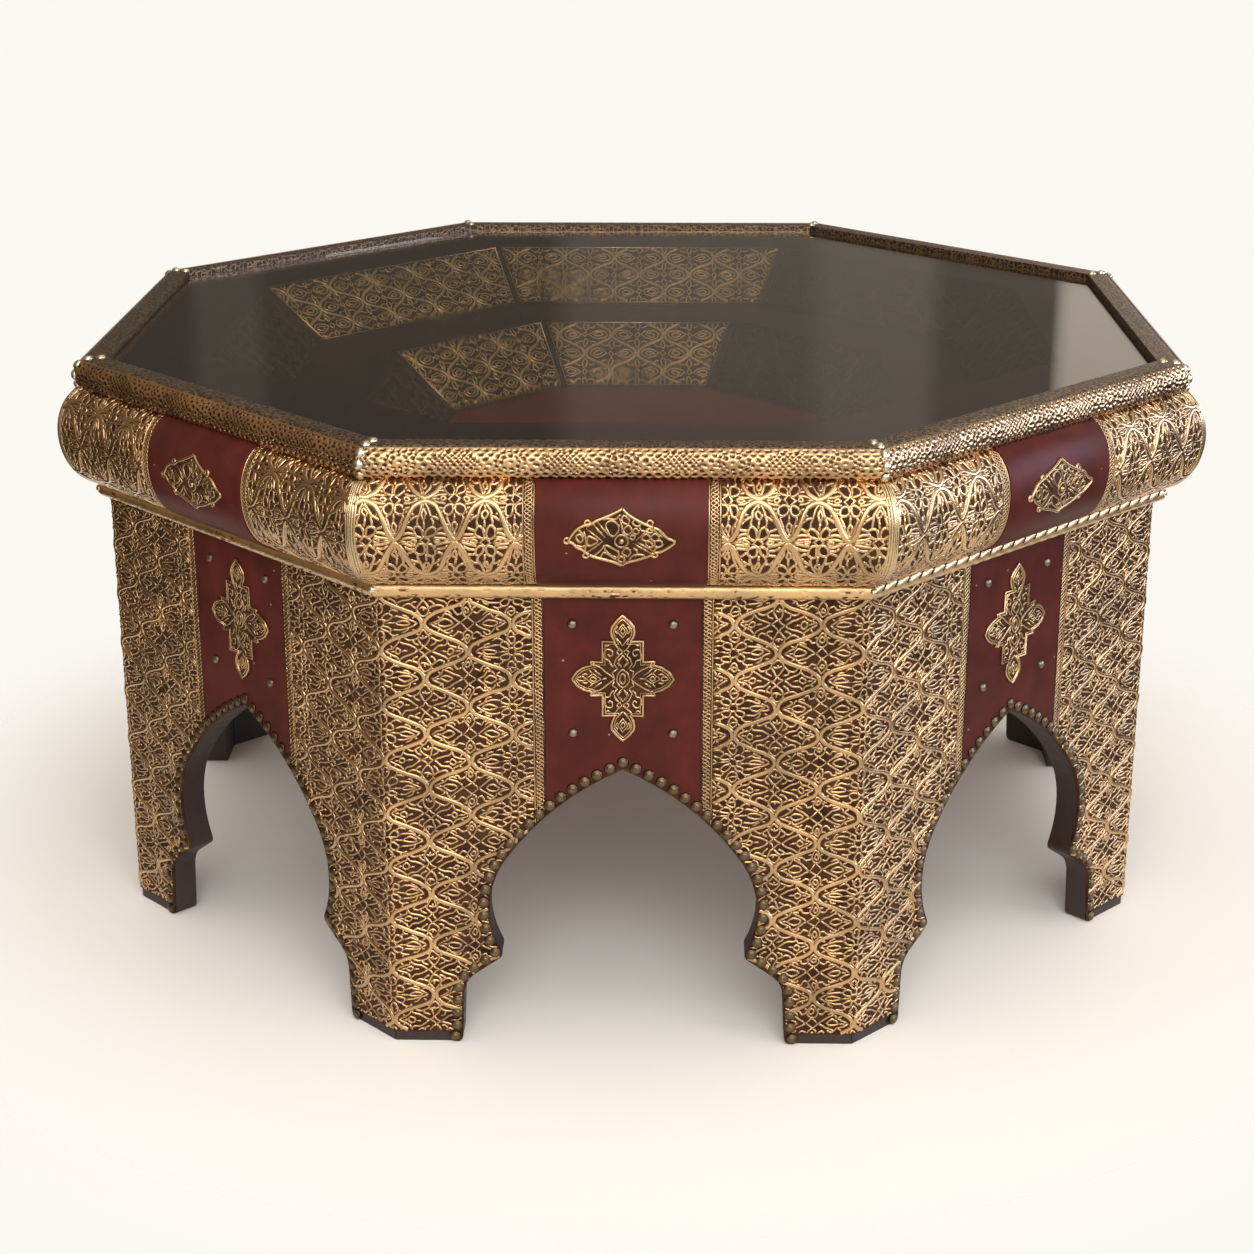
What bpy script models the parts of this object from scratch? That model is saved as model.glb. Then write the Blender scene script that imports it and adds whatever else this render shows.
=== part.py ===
"""Octagonal coffee table: arched base clad in brass and leather, with glass over a stepped display well."""

import math

import bmesh
import bpy
from mathutils import Matrix, Vector

# Whole table, in metres, standing on z = 0 with its axis on Z
SIDES = 8
SEAT_GAP = 0.0003
MITRE_GAP = 0.0004

# Side boards
BOARD_FACE = 0.452
BOARD_THICKNESS = 0.022
BOARD_TOP = 0.4857

# Pointed horseshoe arch through each board, and the foot below its cusp
ARCH_APEX = 0.243
ARCH_WIDEST = 0.120
ARCH_HALF_WIDTH = 0.1074
HAUNCH_RADIUS = 0.080
HAUNCH_TOP_ANGLE = math.radians(35)
HAUNCH_END_ANGLE = math.radians(-27)
CUSP_RADIUS = 0.006
CUSP_UNDER_ANGLE = math.radians(-35)
HEEL_RADIUS = 0.022
FOOT_HALF_GAP = 0.1295
FOOT_TAPER = 0.002
FOOT_ROUND = 0.005

# Brass and leather skins on the boards
SKIN_THICKNESS = 0.0012
PANEL_HALF_WIDTH = 0.0605
BARE_FOOT = 0.009

# Pierced medallion on each leather panel
MEDALLION_MARGIN = 0.0142
MEDALLION_HALF_WIDTH = 0.041
MEDALLION_HALF_HEIGHT = 0.0535
MEDALLION_THICKNESS = 0.002
LOBE_BASE_HALF = 0.0085
LOBE_BOW = 0.0046
SHOULDER_X = 0.0176
SHOULDER_Z = 0.0315
ARM_X = 0.023
ARM_Z = 0.013
ARM_BOW = 0.003
RIM = 0.003
WEB = 0.0016
EYE_HALF_WIDTH = 0.0045
EYE_HALF_HEIGHT = 0.0065

# Roll moulding with its bead
ROLL_UPPER_HEIGHT = 0.0377
ROLL_LOWER_HEIGHT = 0.048
NOSE_REACH = 0.0385
SHOULDER_REACH = 0.0145
NECK_REACH = 0.0055
BEAD_HEIGHT = 0.012
BEAD_REACH = 0.0055

# Leather band over the middle of each roll
BAND_HALF_WIDTH = 0.0645
BAND_TOP_ANGLE = math.radians(68)
BAND_END_ANGLE = math.radians(-72)

# Top frame
FRAME_OVERHANG = 0.023
FRAME_WIDTH = 0.026
FRAME_HEIGHT = 0.024
FRAME_LIP = 0.008
FRAME_TOP_ROUND = 0.012
FRAME_UNDER_ROUND = 0.009

# Glass pane
GLASS_THICKNESS = 0.008
GLASS_RECESS = 0.006
GLASS_CLEARANCE = 0.001
GLASS_ARRIS = 0.001

# Stepped display well
TRAY_WALL = 0.009
DECK_WIDTH = 0.0697
UPPER_RUN = 0.063
UPPER_DROP = 0.0515
LEDGE_WIDTH = 0.070
LOWER_RUN = 0.063
LOWER_DROP = 0.0562
LOWER_FLANGE = 0.030
FLOOR_THICKNESS = 0.008

# Facets along each curve
APEX_STEPS = 8
HAUNCH_STEPS = 12
CUSP_STEPS = 5
HEEL_STEPS = 6
ROUND_STEPS = 3
ROLL_STEPS = 9
BEAD_STEPS = 8
FRAME_STEPS = 5
LOBE_STEPS = 5
SMOOTH_ANGLE = math.radians(32)

# Heights and distances that follow from the sizes above
SKIN_FACE = BOARD_FACE + SEAT_GAP + SKIN_THICKNESS
ROLL_WIDEST = BOARD_TOP - ROLL_UPPER_HEIGHT
ROLL_BOTTOM = ROLL_WIDEST - ROLL_LOWER_HEIGHT
ROLL_NOSE = BOARD_FACE + NOSE_REACH
ROLL_SHOULDER = BOARD_FACE + SHOULDER_REACH
ROLL_NECK = BOARD_FACE + NECK_REACH
BEAD_BOTTOM = ROLL_BOTTOM - BEAD_HEIGHT
SKIN_TOP = BEAD_BOTTOM - SEAT_GAP
MEDALLION_HEIGHT = SKIN_TOP - MEDALLION_MARGIN - MEDALLION_HALF_HEIGHT
FRAME_OUTER = BOARD_FACE + FRAME_OVERHANG
FRAME_SIGHT = FRAME_OUTER - FRAME_WIDTH
FRAME_BOTTOM = BOARD_TOP + SEAT_GAP
FRAME_TOP = FRAME_BOTTOM + FRAME_HEIGHT
GLASS_TOP = FRAME_TOP - GLASS_RECESS
GLASS_BOTTOM = GLASS_TOP - GLASS_THICKNESS
DECK_TOP = GLASS_BOTTOM - SEAT_GAP
DECK_RIM = FRAME_SIGHT - FRAME_LIP - SEAT_GAP
WELL_MOUTH = DECK_RIM - DECK_WIDTH
LEDGE_OUTER = WELL_MOUTH - UPPER_RUN
LEDGE_TOP = DECK_TOP - UPPER_DROP
LEDGE_INNER = LEDGE_OUTER - LEDGE_WIDTH
FLOOR_APOTHEM = LEDGE_INNER - LOWER_RUN
FLOOR_TOP = LEDGE_TOP - LOWER_DROP
SIDE_TAN = math.tan(math.pi / SIDES)
SIDE_TURN = 2 * math.pi / SIDES


def start_empty():
    """Clear the file of objects."""
    for item in list(bpy.data.objects):
        bpy.data.objects.remove(item, do_unlink=True)


def finish(name, colour, roughness, metallic):
    """Principled material with a linear colour."""
    material = bpy.data.materials.new(name)
    material.use_nodes = True
    shader = material.node_tree.nodes["Principled BSDF"]
    shader.inputs["Base Color"].default_value = (*colour, 1.0)
    shader.inputs["Roughness"].default_value = roughness
    shader.inputs["Metallic"].default_value = metallic
    return material


def turned(point, heading, radius, turn, count):
    """Points of an arc that leaves point along heading and turns by turn, anticlockwise when positive."""
    side = math.copysign(1, turn)
    centre_x = point[0] - side * radius * math.sin(heading)
    centre_z = point[1] + side * radius * math.cos(heading)
    points = []
    for step in range(1, count + 1):
        angle = heading + turn * step / count
        x = centre_x + side * radius * math.sin(angle)
        z = centre_z - side * radius * math.cos(angle)
        points.append((x, z))
    return points


def bowed(start, end, bow, count):
    """Arc from start to end, both included, that stands off its chord by bow to the right of its way."""
    chord_x = end[0] - start[0]
    chord_z = end[1] - start[1]
    length = math.hypot(chord_x, chord_z)
    half_turn = 2 * math.atan(2 * bow / length)
    radius = length / (2 * math.sin(abs(half_turn)))
    heading = math.atan2(chord_z, chord_x) - half_turn
    return [start] + turned(start, heading, radius, 2 * half_turn, count)


def ellipse(centre, radii, start, end, count):
    """Points of an ellipse from the angle start to the angle end."""
    angles = [start + (end - start) * step / count for step in range(count + 1)]
    return [(centre[0] + radii[0] * math.cos(a), centre[1] + radii[1] * math.sin(a)) for a in angles]


def mirrored(points):
    """The same points on the other side of x = 0, in reverse order."""
    return [(-x, z) for x, z in reversed(points)]


def crossing(a, b, axis, value):
    """Point on the segment a to b where the coordinate named by axis takes value."""
    share = (value - a[axis]) / (b[axis] - a[axis])
    return (a[0] + share * (b[0] - a[0]), a[1] + share * (b[1] - a[1]))


def arch_half():
    """Right half of the arch, from its apex down to the floor, seen from outside."""
    haunch_centre = (ARCH_HALF_WIDTH - HAUNCH_RADIUS, ARCH_WIDEST)
    haunch_radii = (HAUNCH_RADIUS, HAUNCH_RADIUS)
    haunch = ellipse(haunch_centre, haunch_radii, HAUNCH_TOP_ANGLE, HAUNCH_END_ANGLE, HAUNCH_STEPS)
    apex = (0.0, ARCH_APEX)
    chord = math.dist(haunch[0], apex)
    chord_angle = math.atan2(apex[1] - haunch[0][1], apex[0] - haunch[0][0])
    leaving = HAUNCH_TOP_ANGLE + math.pi / 2
    bow = chord / 2 * math.tan((chord_angle - leaving) / 2)
    crown = bowed(haunch[0], apex, bow, APEX_STEPS)
    path = list(reversed(crown)) + haunch[1:]
    heading = HAUNCH_END_ANGLE - math.pi / 2
    under = CUSP_UNDER_ANGLE
    path += turned(path[-1], heading, CUSP_RADIUS, under - heading, CUSP_STEPS)
    heel_turn = -math.pi / 2 - under
    heel_reach = HEEL_RADIUS * (1 + math.sin(under))
    run = (FOOT_HALF_GAP - heel_reach - path[-1][0]) / math.cos(under)
    heel_start = (path[-1][0] + run * math.cos(under), path[-1][1] + run * math.sin(under))
    path.append(heel_start)
    path += turned(heel_start, under, HEEL_RADIUS, heel_turn, HEEL_STEPS)
    toe_centre = (FOOT_HALF_GAP + FOOT_TAPER + FOOT_ROUND, FOOT_ROUND)
    path += ellipse(toe_centre, (FOOT_ROUND, FOOT_ROUND), math.pi, 1.5 * math.pi, ROUND_STEPS)
    return path


def arch_above_panel(path):
    """Right half of the arch from its apex to the leather panel's edge."""
    for index in range(1, len(path)):
        if path[index][0] > PANEL_HALF_WIDTH:
            return path[:index] + [crossing(path[index - 1], path[index], 0, PANEL_HALF_WIDTH)]
    raise ValueError("the leather panel is wider than the arch")


def arch_beside_leg(path):
    """Right half of the arch from the brass sheet's inner edge down to the bare foot."""
    edge = PANEL_HALF_WIDTH + SEAT_GAP
    first = next(i for i in range(1, len(path)) if path[i][0] > edge)
    last = max(i for i in range(1, len(path)) if path[i - 1][1] > BARE_FOOT)
    top = crossing(path[first - 1], path[first], 0, edge)
    foot = crossing(path[last - 1], path[last], 1, BARE_FOOT)
    return [top] + path[first:last] + [foot]


def fill_loops(bm, loops, y):
    """Flat face in the plane of y, bounded by the first loop, with the others as holes."""
    edges = []
    for loop in loops:
        ring = [bm.verts.new((x, y, z)) for x, z in loop]
        edges += [bm.edges.new((ring[i - 1], ring[i])) for i in range(len(ring))]
    bmesh.ops.triangle_fill(bm, use_beauty=True, use_dissolve=False, edges=edges)


def plate(loops, face, thickness):
    """Flat plate seen from the front, with its outer face at y = -face."""
    bm = bmesh.new()
    fill_loops(bm, loops, -face)
    grown = bmesh.ops.extrude_face_region(bm, geom=bm.faces[:])
    back = [item for item in grown["geom"] if isinstance(item, bmesh.types.BMVert)]
    bmesh.ops.translate(bm, vec=(0, thickness, 0), verts=back)
    bmesh.ops.recalc_face_normals(bm, faces=bm.faces[:])
    return bm


def mitred_bar(profile):
    """Length of moulding along the front side, cut at both ends on the octagon's mitre planes."""
    bm = bmesh.new()
    ends = []
    for hand in (-1, 1):
        ring = []
        for reach, z in profile:
            ring.append(bm.verts.new((hand * (reach * SIDE_TAN - MITRE_GAP), -reach, z)))
        ends.append(ring)
        bm.faces.new(ring)
    for i in range(len(profile)):
        bm.faces.new((ends[0][i - 1], ends[0][i], ends[1][i], ends[1][i - 1]))
    bmesh.ops.recalc_face_normals(bm, faces=bm.faces[:])
    return bm


def octagon_ring(profile):
    """Closed profile carried round all sides of the octagon."""
    bm = bmesh.new()
    rings = []
    for side in range(SIDES):
        angle = SIDE_TURN * (side + 0.5)
        way = Vector((math.cos(angle), math.sin(angle), 0)) / math.cos(math.pi / SIDES)
        rings.append([bm.verts.new(way * reach + Vector((0, 0, z))) for reach, z in profile])
    for side in range(SIDES):
        here = rings[side - 1]
        there = rings[side]
        for i in range(len(profile)):
            bm.faces.new((here[i - 1], here[i], there[i], there[i - 1]))
    bmesh.ops.recalc_face_normals(bm, faces=bm.faces[:])
    return bm


def octagon_plate(apothem, thickness):
    """Flat octagon standing on z = 0."""
    bm = bmesh.new()
    bmesh.ops.create_circle(bm, cap_ends=True, segments=SIDES, radius=apothem / math.cos(math.pi / SIDES))
    bmesh.ops.rotate(bm, matrix=Matrix.Rotation(SIDE_TURN / 2, 3, "Z"), verts=bm.verts[:])
    grown = bmesh.ops.extrude_face_region(bm, geom=bm.faces[:])
    top = [item for item in grown["geom"] if isinstance(item, bmesh.types.BMVert)]
    bmesh.ops.translate(bm, vec=(0, 0, thickness), verts=top)
    bmesh.ops.recalc_face_normals(bm, faces=bm.faces[:])
    return bm


def side_board():
    """Board with the arch cut through it and both ends cut to the mitre."""
    half = BOARD_FACE * SIDE_TAN - MITRE_GAP
    right = arch_half() + [(half, 0.0), (half, BOARD_TOP)]
    bm = plate([right + mirrored(right[1:])], BOARD_FACE, BOARD_THICKNESS)
    for vert in bm.verts:
        at_end = abs(vert.co.x) > half - SEAT_GAP
        at_back = vert.co.y > -BOARD_FACE + SEAT_GAP
        if at_end and at_back:
            vert.co.x -= math.copysign(BOARD_THICKNESS * SIDE_TAN, vert.co.x)
    return bm


def leg_sheath():
    """Brass sheet folded round the corner to the right of the front side."""
    inner = SKIN_FACE - SKIN_THICKNESS
    half = SKIN_FACE * SIDE_TAN
    edge = arch_beside_leg(arch_half())
    outline = edge + [(half, BARE_FOOT), (half, SKIN_TOP), (PANEL_HALF_WIDTH + SEAT_GAP, SKIN_TOP)]
    bm = plate([outline], SKIN_FACE, SKIN_THICKNESS)
    for vert in bm.verts:
        if vert.co.x > half - SEAT_GAP and vert.co.y > -SKIN_FACE + SKIN_THICKNESS / 2:
            vert.co.x = inner * SIDE_TAN
    fold = [f for f in bm.faces if all(v.co.x >= -v.co.y * SIDE_TAN - SEAT_GAP / 10 for v in f.verts)]
    bmesh.ops.delete(bm, geom=fold, context="FACES")
    normal = Vector((math.cos(SIDE_TURN / 2), math.sin(SIDE_TURN / 2), 0))
    flip = Matrix.Identity(4)
    for row in range(3):
        for column in range(3):
            flip[row][column] -= 2 * normal[row] * normal[column]
    copy = bmesh.ops.duplicate(bm, geom=bm.verts[:] + bm.edges[:] + bm.faces[:])
    twins = [item for item in copy["geom"] if isinstance(item, bmesh.types.BMVert)]
    bmesh.ops.transform(bm, matrix=flip, verts=twins)
    bmesh.ops.remove_doubles(bm, verts=bm.verts[:], dist=SEAT_GAP / 10)
    bmesh.ops.recalc_face_normals(bm, faces=bm.faces[:])
    return bm


def leather_panel():
    """Red panel above the arch, between the brass sheets."""
    arch = arch_above_panel(arch_half())
    right = arch + [(PANEL_HALF_WIDTH, SKIN_TOP)]
    return plate([right + mirrored(right[1:])], SKIN_FACE, SKIN_THICKNESS)


def medallion_outline():
    """Cross of four pointed lobes with stepped shoulders between them."""
    arm = bowed((MEDALLION_HALF_WIDTH, 0.0), (ARM_X, ARM_Z), ARM_BOW, LOBE_STEPS)
    lobe = bowed((LOBE_BASE_HALF, SHOULDER_Z), (0.0, MEDALLION_HALF_HEIGHT), LOBE_BOW, LOBE_STEPS)
    quarter = arm + [(SHOULDER_X, ARM_Z), (SHOULDER_X, SHOULDER_Z)] + lobe
    upper = quarter + mirrored(quarter[:-1])
    lower = [(x, -z) for x, z in reversed(upper[1:-1])]
    return upper + lower


def almond(low, high, half):
    """Pointed oval upright on z from low to high."""
    side = bowed((0.0, low), (0.0, high), half, LOBE_STEPS)
    return side + mirrored(side[1:-1])


def medallion_openings():
    """Almond in each lobe, an eye in the middle and a fretted corner between neighbouring lobes."""
    eye = almond(-EYE_HALF_HEIGHT, EYE_HALF_HEIGHT, EYE_HALF_WIDTH)
    lobe_low = EYE_HALF_HEIGHT + WEB
    lobe_high = MEDALLION_HALF_HEIGHT - 2 * RIM
    top = almond(lobe_low, lobe_high, LOBE_BASE_HALF - RIM)
    bottom = [(x, -z) for x, z in top]
    arm_low = EYE_HALF_WIDTH + WEB
    arm_high = MEDALLION_HALF_WIDTH - 2 * RIM
    right = [(z, x) for x, z in almond(arm_low, arm_high, ARM_Z - 2 * RIM)]
    left = [(-x, z) for x, z in right]
    openings = [eye, top, bottom, right, left]
    far_x = SHOULDER_X - RIM
    far_z = SHOULDER_Z - RIM
    near_x = LOBE_BASE_HALF - RIM + WEB
    near_z = ARM_Z - 2 * RIM + WEB
    slope = bowed((near_x, far_z), (far_x, near_z), (near_x - far_x) / 4, LOBE_STEPS)
    corner = slope + [(far_x, far_z)]
    for across in (1, -1):
        for along in (1, -1):
            openings.append([(across * x, along * z) for x, z in corner])
    return openings


def panel_medallion():
    """Pierced brass ornament seated on the leather."""
    loops = [medallion_outline()] + medallion_openings()
    raised = [[(x, z + MEDALLION_HEIGHT) for x, z in loop] for loop in loops]
    return plate(raised, SKIN_FACE + SEAT_GAP + MEDALLION_THICKNESS, MEDALLION_THICKNESS)


def roll_curve(start, end, count):
    """Outer curve of the roll, by angle from its nose: a long quarter below and a shorter one above."""
    points = []
    for step in range(count + 1):
        angle = start + (end - start) * step / count
        neck = ROLL_SHOULDER if angle > 0 else ROLL_NECK
        height = ROLL_UPPER_HEIGHT if angle > 0 else ROLL_LOWER_HEIGHT
        x = neck + (ROLL_NOSE - neck) * math.cos(angle)
        points.append((x, ROLL_WIDEST + height * math.sin(angle)))
    return points


def roll_rail():
    """Moulding with the bead along its lower edge."""
    back = BOARD_FACE + SEAT_GAP
    bead_middle = (ROLL_NECK, ROLL_BOTTOM - BEAD_HEIGHT / 2)
    bead = ellipse(bead_middle, (BEAD_REACH, BEAD_HEIGHT / 2), -math.pi / 2, math.pi / 2, BEAD_STEPS)
    roll = roll_curve(-math.pi / 2, math.pi / 2, 2 * ROLL_STEPS)
    return mitred_bar([(back, BEAD_BOTTOM)] + bead + roll[1:] + [(back, BOARD_TOP)])


def roll_band():
    """Leather wrapped over the middle of the roll."""
    seat = roll_curve(BAND_TOP_ANGLE, BAND_END_ANGLE, 2 * ROLL_STEPS)
    under = []
    over = []
    for i, point in enumerate(seat):
        before = seat[max(i - 1, 0)]
        after = seat[min(i + 1, len(seat) - 1)]
        along = Vector((after[0] - before[0], after[1] - before[1])).normalized()
        outward = Vector((-along.y, along.x))
        under.append(Vector(point) + outward * SEAT_GAP)
        over.append(Vector(point) + outward * (SEAT_GAP + SKIN_THICKNESS))
    bm = bmesh.new()
    rows = []
    for hand in (-1, 1):
        ring = [bm.verts.new((hand * BAND_HALF_WIDTH, -p.x, p.y)) for p in under + over[::-1]]
        rows.append(ring)
        bm.faces.new(ring)
    for i in range(len(rows[0])):
        bm.faces.new((rows[0][i - 1], rows[0][i], rows[1][i], rows[1][i - 1]))
    bmesh.ops.recalc_face_normals(bm, faces=bm.faces[:])
    return bm


def frame_rail():
    """Rounded rail with a lip inside it that carries the glass."""
    lip = FRAME_SIGHT - FRAME_LIP
    under_centre = (FRAME_OUTER - FRAME_UNDER_ROUND, FRAME_BOTTOM + FRAME_UNDER_ROUND)
    top_centre = (FRAME_OUTER - FRAME_TOP_ROUND, FRAME_TOP - FRAME_TOP_ROUND)
    under = ellipse(under_centre, (FRAME_UNDER_ROUND, FRAME_UNDER_ROUND), -math.pi / 2, 0, FRAME_STEPS)
    top = ellipse(top_centre, (FRAME_TOP_ROUND, FRAME_TOP_ROUND), 0, math.pi / 2, FRAME_STEPS)
    inside = [(FRAME_SIGHT, FRAME_TOP), (FRAME_SIGHT, DECK_TOP), (lip, DECK_TOP)]
    return mitred_bar([(lip, FRAME_BOTTOM)] + under + top + inside)


def wall_shift(top, bottom):
    """How far a sloping tray wall reaches sideways between its two faces."""
    return TRAY_WALL * math.dist(top, bottom) / (top[1] - bottom[1])


def along_slope(top, bottom, z):
    """Distance from the axis of a sloping face at height z."""
    return crossing(top, bottom, 1, z)[0]


def lower_slope():
    """Upper and lower edge of the lower tier's sloping face."""
    return (LEDGE_INNER, LEDGE_TOP), (FLOOR_APOTHEM, FLOOR_TOP)


def upper_tray():
    """Deck ring under the glass, sloping panels and the ledge halfway down the well."""
    top = (WELL_MOUTH, DECK_TOP)
    bottom = (LEDGE_OUTER, LEDGE_TOP)
    shift = wall_shift(top, bottom)
    ledge_under = LEDGE_TOP - TRAY_WALL
    ledge_edge = along_slope(*lower_slope(), ledge_under)
    return octagon_ring(
        [
            (DECK_RIM, FRAME_BOTTOM),
            (DECK_RIM, DECK_TOP),
            top,
            bottom,
            (LEDGE_INNER, LEDGE_TOP),
            (ledge_edge, ledge_under),
            (along_slope(top, bottom, ledge_under) + shift, ledge_under),
            (along_slope(top, bottom, FRAME_BOTTOM) + shift, FRAME_BOTTOM),
        ]
    )


def lower_tray():
    """Second tier of sloping panels, hung by its flange below the ledge."""
    top, bottom = lower_slope()
    shift = wall_shift(top, bottom)
    flange_top = LEDGE_TOP - TRAY_WALL - SEAT_GAP
    flange_under = flange_top - TRAY_WALL
    foot = FLOOR_TOP + SEAT_GAP
    return octagon_ring(
        [
            (LEDGE_INNER + LOWER_FLANGE, flange_under),
            (LEDGE_INNER + LOWER_FLANGE, flange_top),
            (along_slope(top, bottom, flange_top), flange_top),
            (along_slope(top, bottom, foot), foot),
            (along_slope(top, bottom, foot) + shift, foot),
            (along_slope(top, bottom, flange_under) + shift, flange_under),
        ]
    )


def well_floor():
    """Red floor board fixed under the lower tray."""
    top, bottom = lower_slope()
    return octagon_plate(FLOOR_APOTHEM + wall_shift(top, bottom), FLOOR_THICKNESS)


def glass_pane():
    """Loose pane with a small arris all round."""
    bm = octagon_plate(FRAME_SIGHT - GLASS_CLEARANCE, GLASS_THICKNESS)
    rim = [e for e in bm.edges if len(e.link_faces) == 2 and e.verts[0].co.z == e.verts[1].co.z]
    bmesh.ops.bevel(bm, geom=rim, offset=GLASS_ARRIS, segments=2, profile=0.5, affect="EDGES", material=-1)
    return bm


def make_mesh(name, bm, material):
    """Mesh with its material, smooth along curves and sharp at arrises."""
    mesh = bpy.data.meshes.new(name)
    bm.to_mesh(mesh)
    bm.free()
    mesh.materials.append(material)
    mesh.shade_smooth()
    mesh.set_sharp_from_angle(angle=SMOOTH_ANGLE)
    return mesh


def place(name, mesh, parent=None, height=0.0):
    """Named object for one piece."""
    item = bpy.data.objects.new(name, mesh)
    item.location.z = height
    item.parent = parent
    bpy.context.scene.collection.objects.link(item)
    return item


def side_empties():
    """One empty on the table's axis for each side, turned to face it, starting at the front."""
    empties = []
    for side in range(SIDES):
        empty = bpy.data.objects.new(f"side_{side + 1}", None)
        empty.rotation_euler.z = SIDE_TURN * side
        bpy.context.scene.collection.objects.link(empty)
        empties.append(empty)
    return empties


def main():
    start_empty()
    wood = finish("dark stained wood", (0.018, 0.011, 0.008), 0.45, 0.0)
    brass = finish("embossed brass", (0.45, 0.30, 0.11), 0.36, 1.0)
    aged_brass = finish("aged brass", (0.30, 0.19, 0.075), 0.42, 1.0)
    leather = finish("oxblood leather", (0.115, 0.022, 0.015), 0.48, 0.0)
    glass = finish("smoked glass", (0.035, 0.030, 0.026), 0.03, 0.0)
    repeated = {
        "side_board": (side_board(), wood),
        "leg_sheath": (leg_sheath(), brass),
        "leather_panel": (leather_panel(), leather),
        "panel_medallion": (panel_medallion(), brass),
        "roll_rail": (roll_rail(), brass),
        "roll_band": (roll_band(), leather),
        "frame_rail": (frame_rail(), aged_brass),
    }
    meshes = {name: make_mesh(name, bm, material) for name, (bm, material) in repeated.items()}
    for number, empty in enumerate(side_empties(), start=1):
        for name, mesh in meshes.items():
            place(f"{name}_{number}", mesh, parent=empty)
    place("well_upper_tray", make_mesh("well_upper_tray", upper_tray(), wood))
    place("well_lower_tray", make_mesh("well_lower_tray", lower_tray(), wood))
    floor_mesh = make_mesh("well_floor", well_floor(), leather)
    place("well_floor", floor_mesh, height=FLOOR_TOP - FLOOR_THICKNESS)
    place("glass_top", make_mesh("glass_top", glass_pane(), glass), height=GLASS_BOTTOM)
    bpy.context.view_layer.update()


main()
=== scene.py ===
"""Dresses the octagonal coffee table: chased brass and oxblood leather on the arched base, smoked glass over the well.

Lengths are in metres, +Z is up and side 1 faces -Y. An ornament is drawn flat as strokes, each a line of points
(across, up) and whether it closes. It is raised into a relief, laid on its surface on side 1 and then repeated round
the other sides, which follow anticlockwise from above.
"""

import bisect
import functools
import math

import bmesh
import bpy
from mathutils import Matrix, Vector, geometry, noise


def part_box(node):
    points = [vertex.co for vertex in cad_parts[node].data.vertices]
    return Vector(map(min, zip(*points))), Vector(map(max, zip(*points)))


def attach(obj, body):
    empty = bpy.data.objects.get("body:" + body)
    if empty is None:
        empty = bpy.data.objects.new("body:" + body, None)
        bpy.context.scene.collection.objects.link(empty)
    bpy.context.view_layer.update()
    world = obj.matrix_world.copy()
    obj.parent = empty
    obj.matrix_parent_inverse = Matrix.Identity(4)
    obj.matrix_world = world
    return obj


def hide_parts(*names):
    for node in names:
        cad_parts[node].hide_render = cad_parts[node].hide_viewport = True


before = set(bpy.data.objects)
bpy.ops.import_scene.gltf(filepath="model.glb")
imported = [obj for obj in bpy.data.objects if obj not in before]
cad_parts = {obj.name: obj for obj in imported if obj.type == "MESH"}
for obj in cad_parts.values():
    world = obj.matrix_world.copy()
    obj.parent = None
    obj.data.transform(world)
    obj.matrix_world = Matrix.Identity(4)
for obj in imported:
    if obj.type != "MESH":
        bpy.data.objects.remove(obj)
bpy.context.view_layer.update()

bl_info = {
    "name": "Octagonal Coffee Table",
    "version": (1, 0, 0),
    "blender": (4, 5, 0),
    "location": "3D View > Sidebar > Coffee Table",
    "description": "Brass, leather and glass for an octagonal coffee table",
    "category": "Object",
}

SIDES = 8
ALL_SIDES = range(1, SIDES + 1)
TURN = math.tau / SIDES
MITRE = math.tan(TURN / 2)
MM = 0.001
# How far apart two places of the solids may be and count as one, and two points of an ornament.
SLACK, WELD = 1e-4, 1e-6
# Vector noise follows the clock unless it is seeded.
noise.seed_set(8)


# ---- sizes that come from the solids ----

def each(label):
    """Names of the eight nodes of a label."""
    return [f"{label}_{k}" for k in ALL_SIDES]


def corners(node):
    """The node's corner points."""
    return [v.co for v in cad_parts[node].data.vertices]


def rail_section(node):
    """Corner points of a mitred rail's section, as (reach from the axis, height)."""
    return sorted({(round(-p.y, 5), round(p.z, 5)) for p in corners(node) if p.x > 0}, key=lambda p: p[1])


def ring_section(node):
    """Corner points of an eight-sided ring's section, as (reach to the middle of a side, height)."""
    return sorted({(round(math.hypot(p.x, p.y) * math.cos(TURN / 2), 4), round(p.z, 5)) for p in corners(node)})


def front_outline(node):
    """Outline of the node's front face, in order, as (across, up)."""
    bm = bmesh.new()
    bm.from_mesh(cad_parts[node].data)
    bmesh.ops.remove_doubles(bm, verts=bm.verts, dist=1e-5)
    face_y = min(v.co.y for v in bm.verts)
    front = {f for f in bm.faces if all(v.co.y < face_y + SLACK for v in f.verts)}
    rim = [e for e in bm.edges if sum(f in front for f in e.link_faces) == 1]
    ends = {}
    for edge in rim:
        for v in edge.verts:
            ends.setdefault(v, []).append(edge)
    edge, vert, outline = rim[0], rim[0].verts[0], []
    while len(outline) < len(rim):
        outline.append(Vector((vert.co.x, vert.co.z)))
        vert = edge.other_vert(vert)
        edge = next(e for e in ends[vert] if e is not edge)
    bm.free()
    return outline


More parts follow.
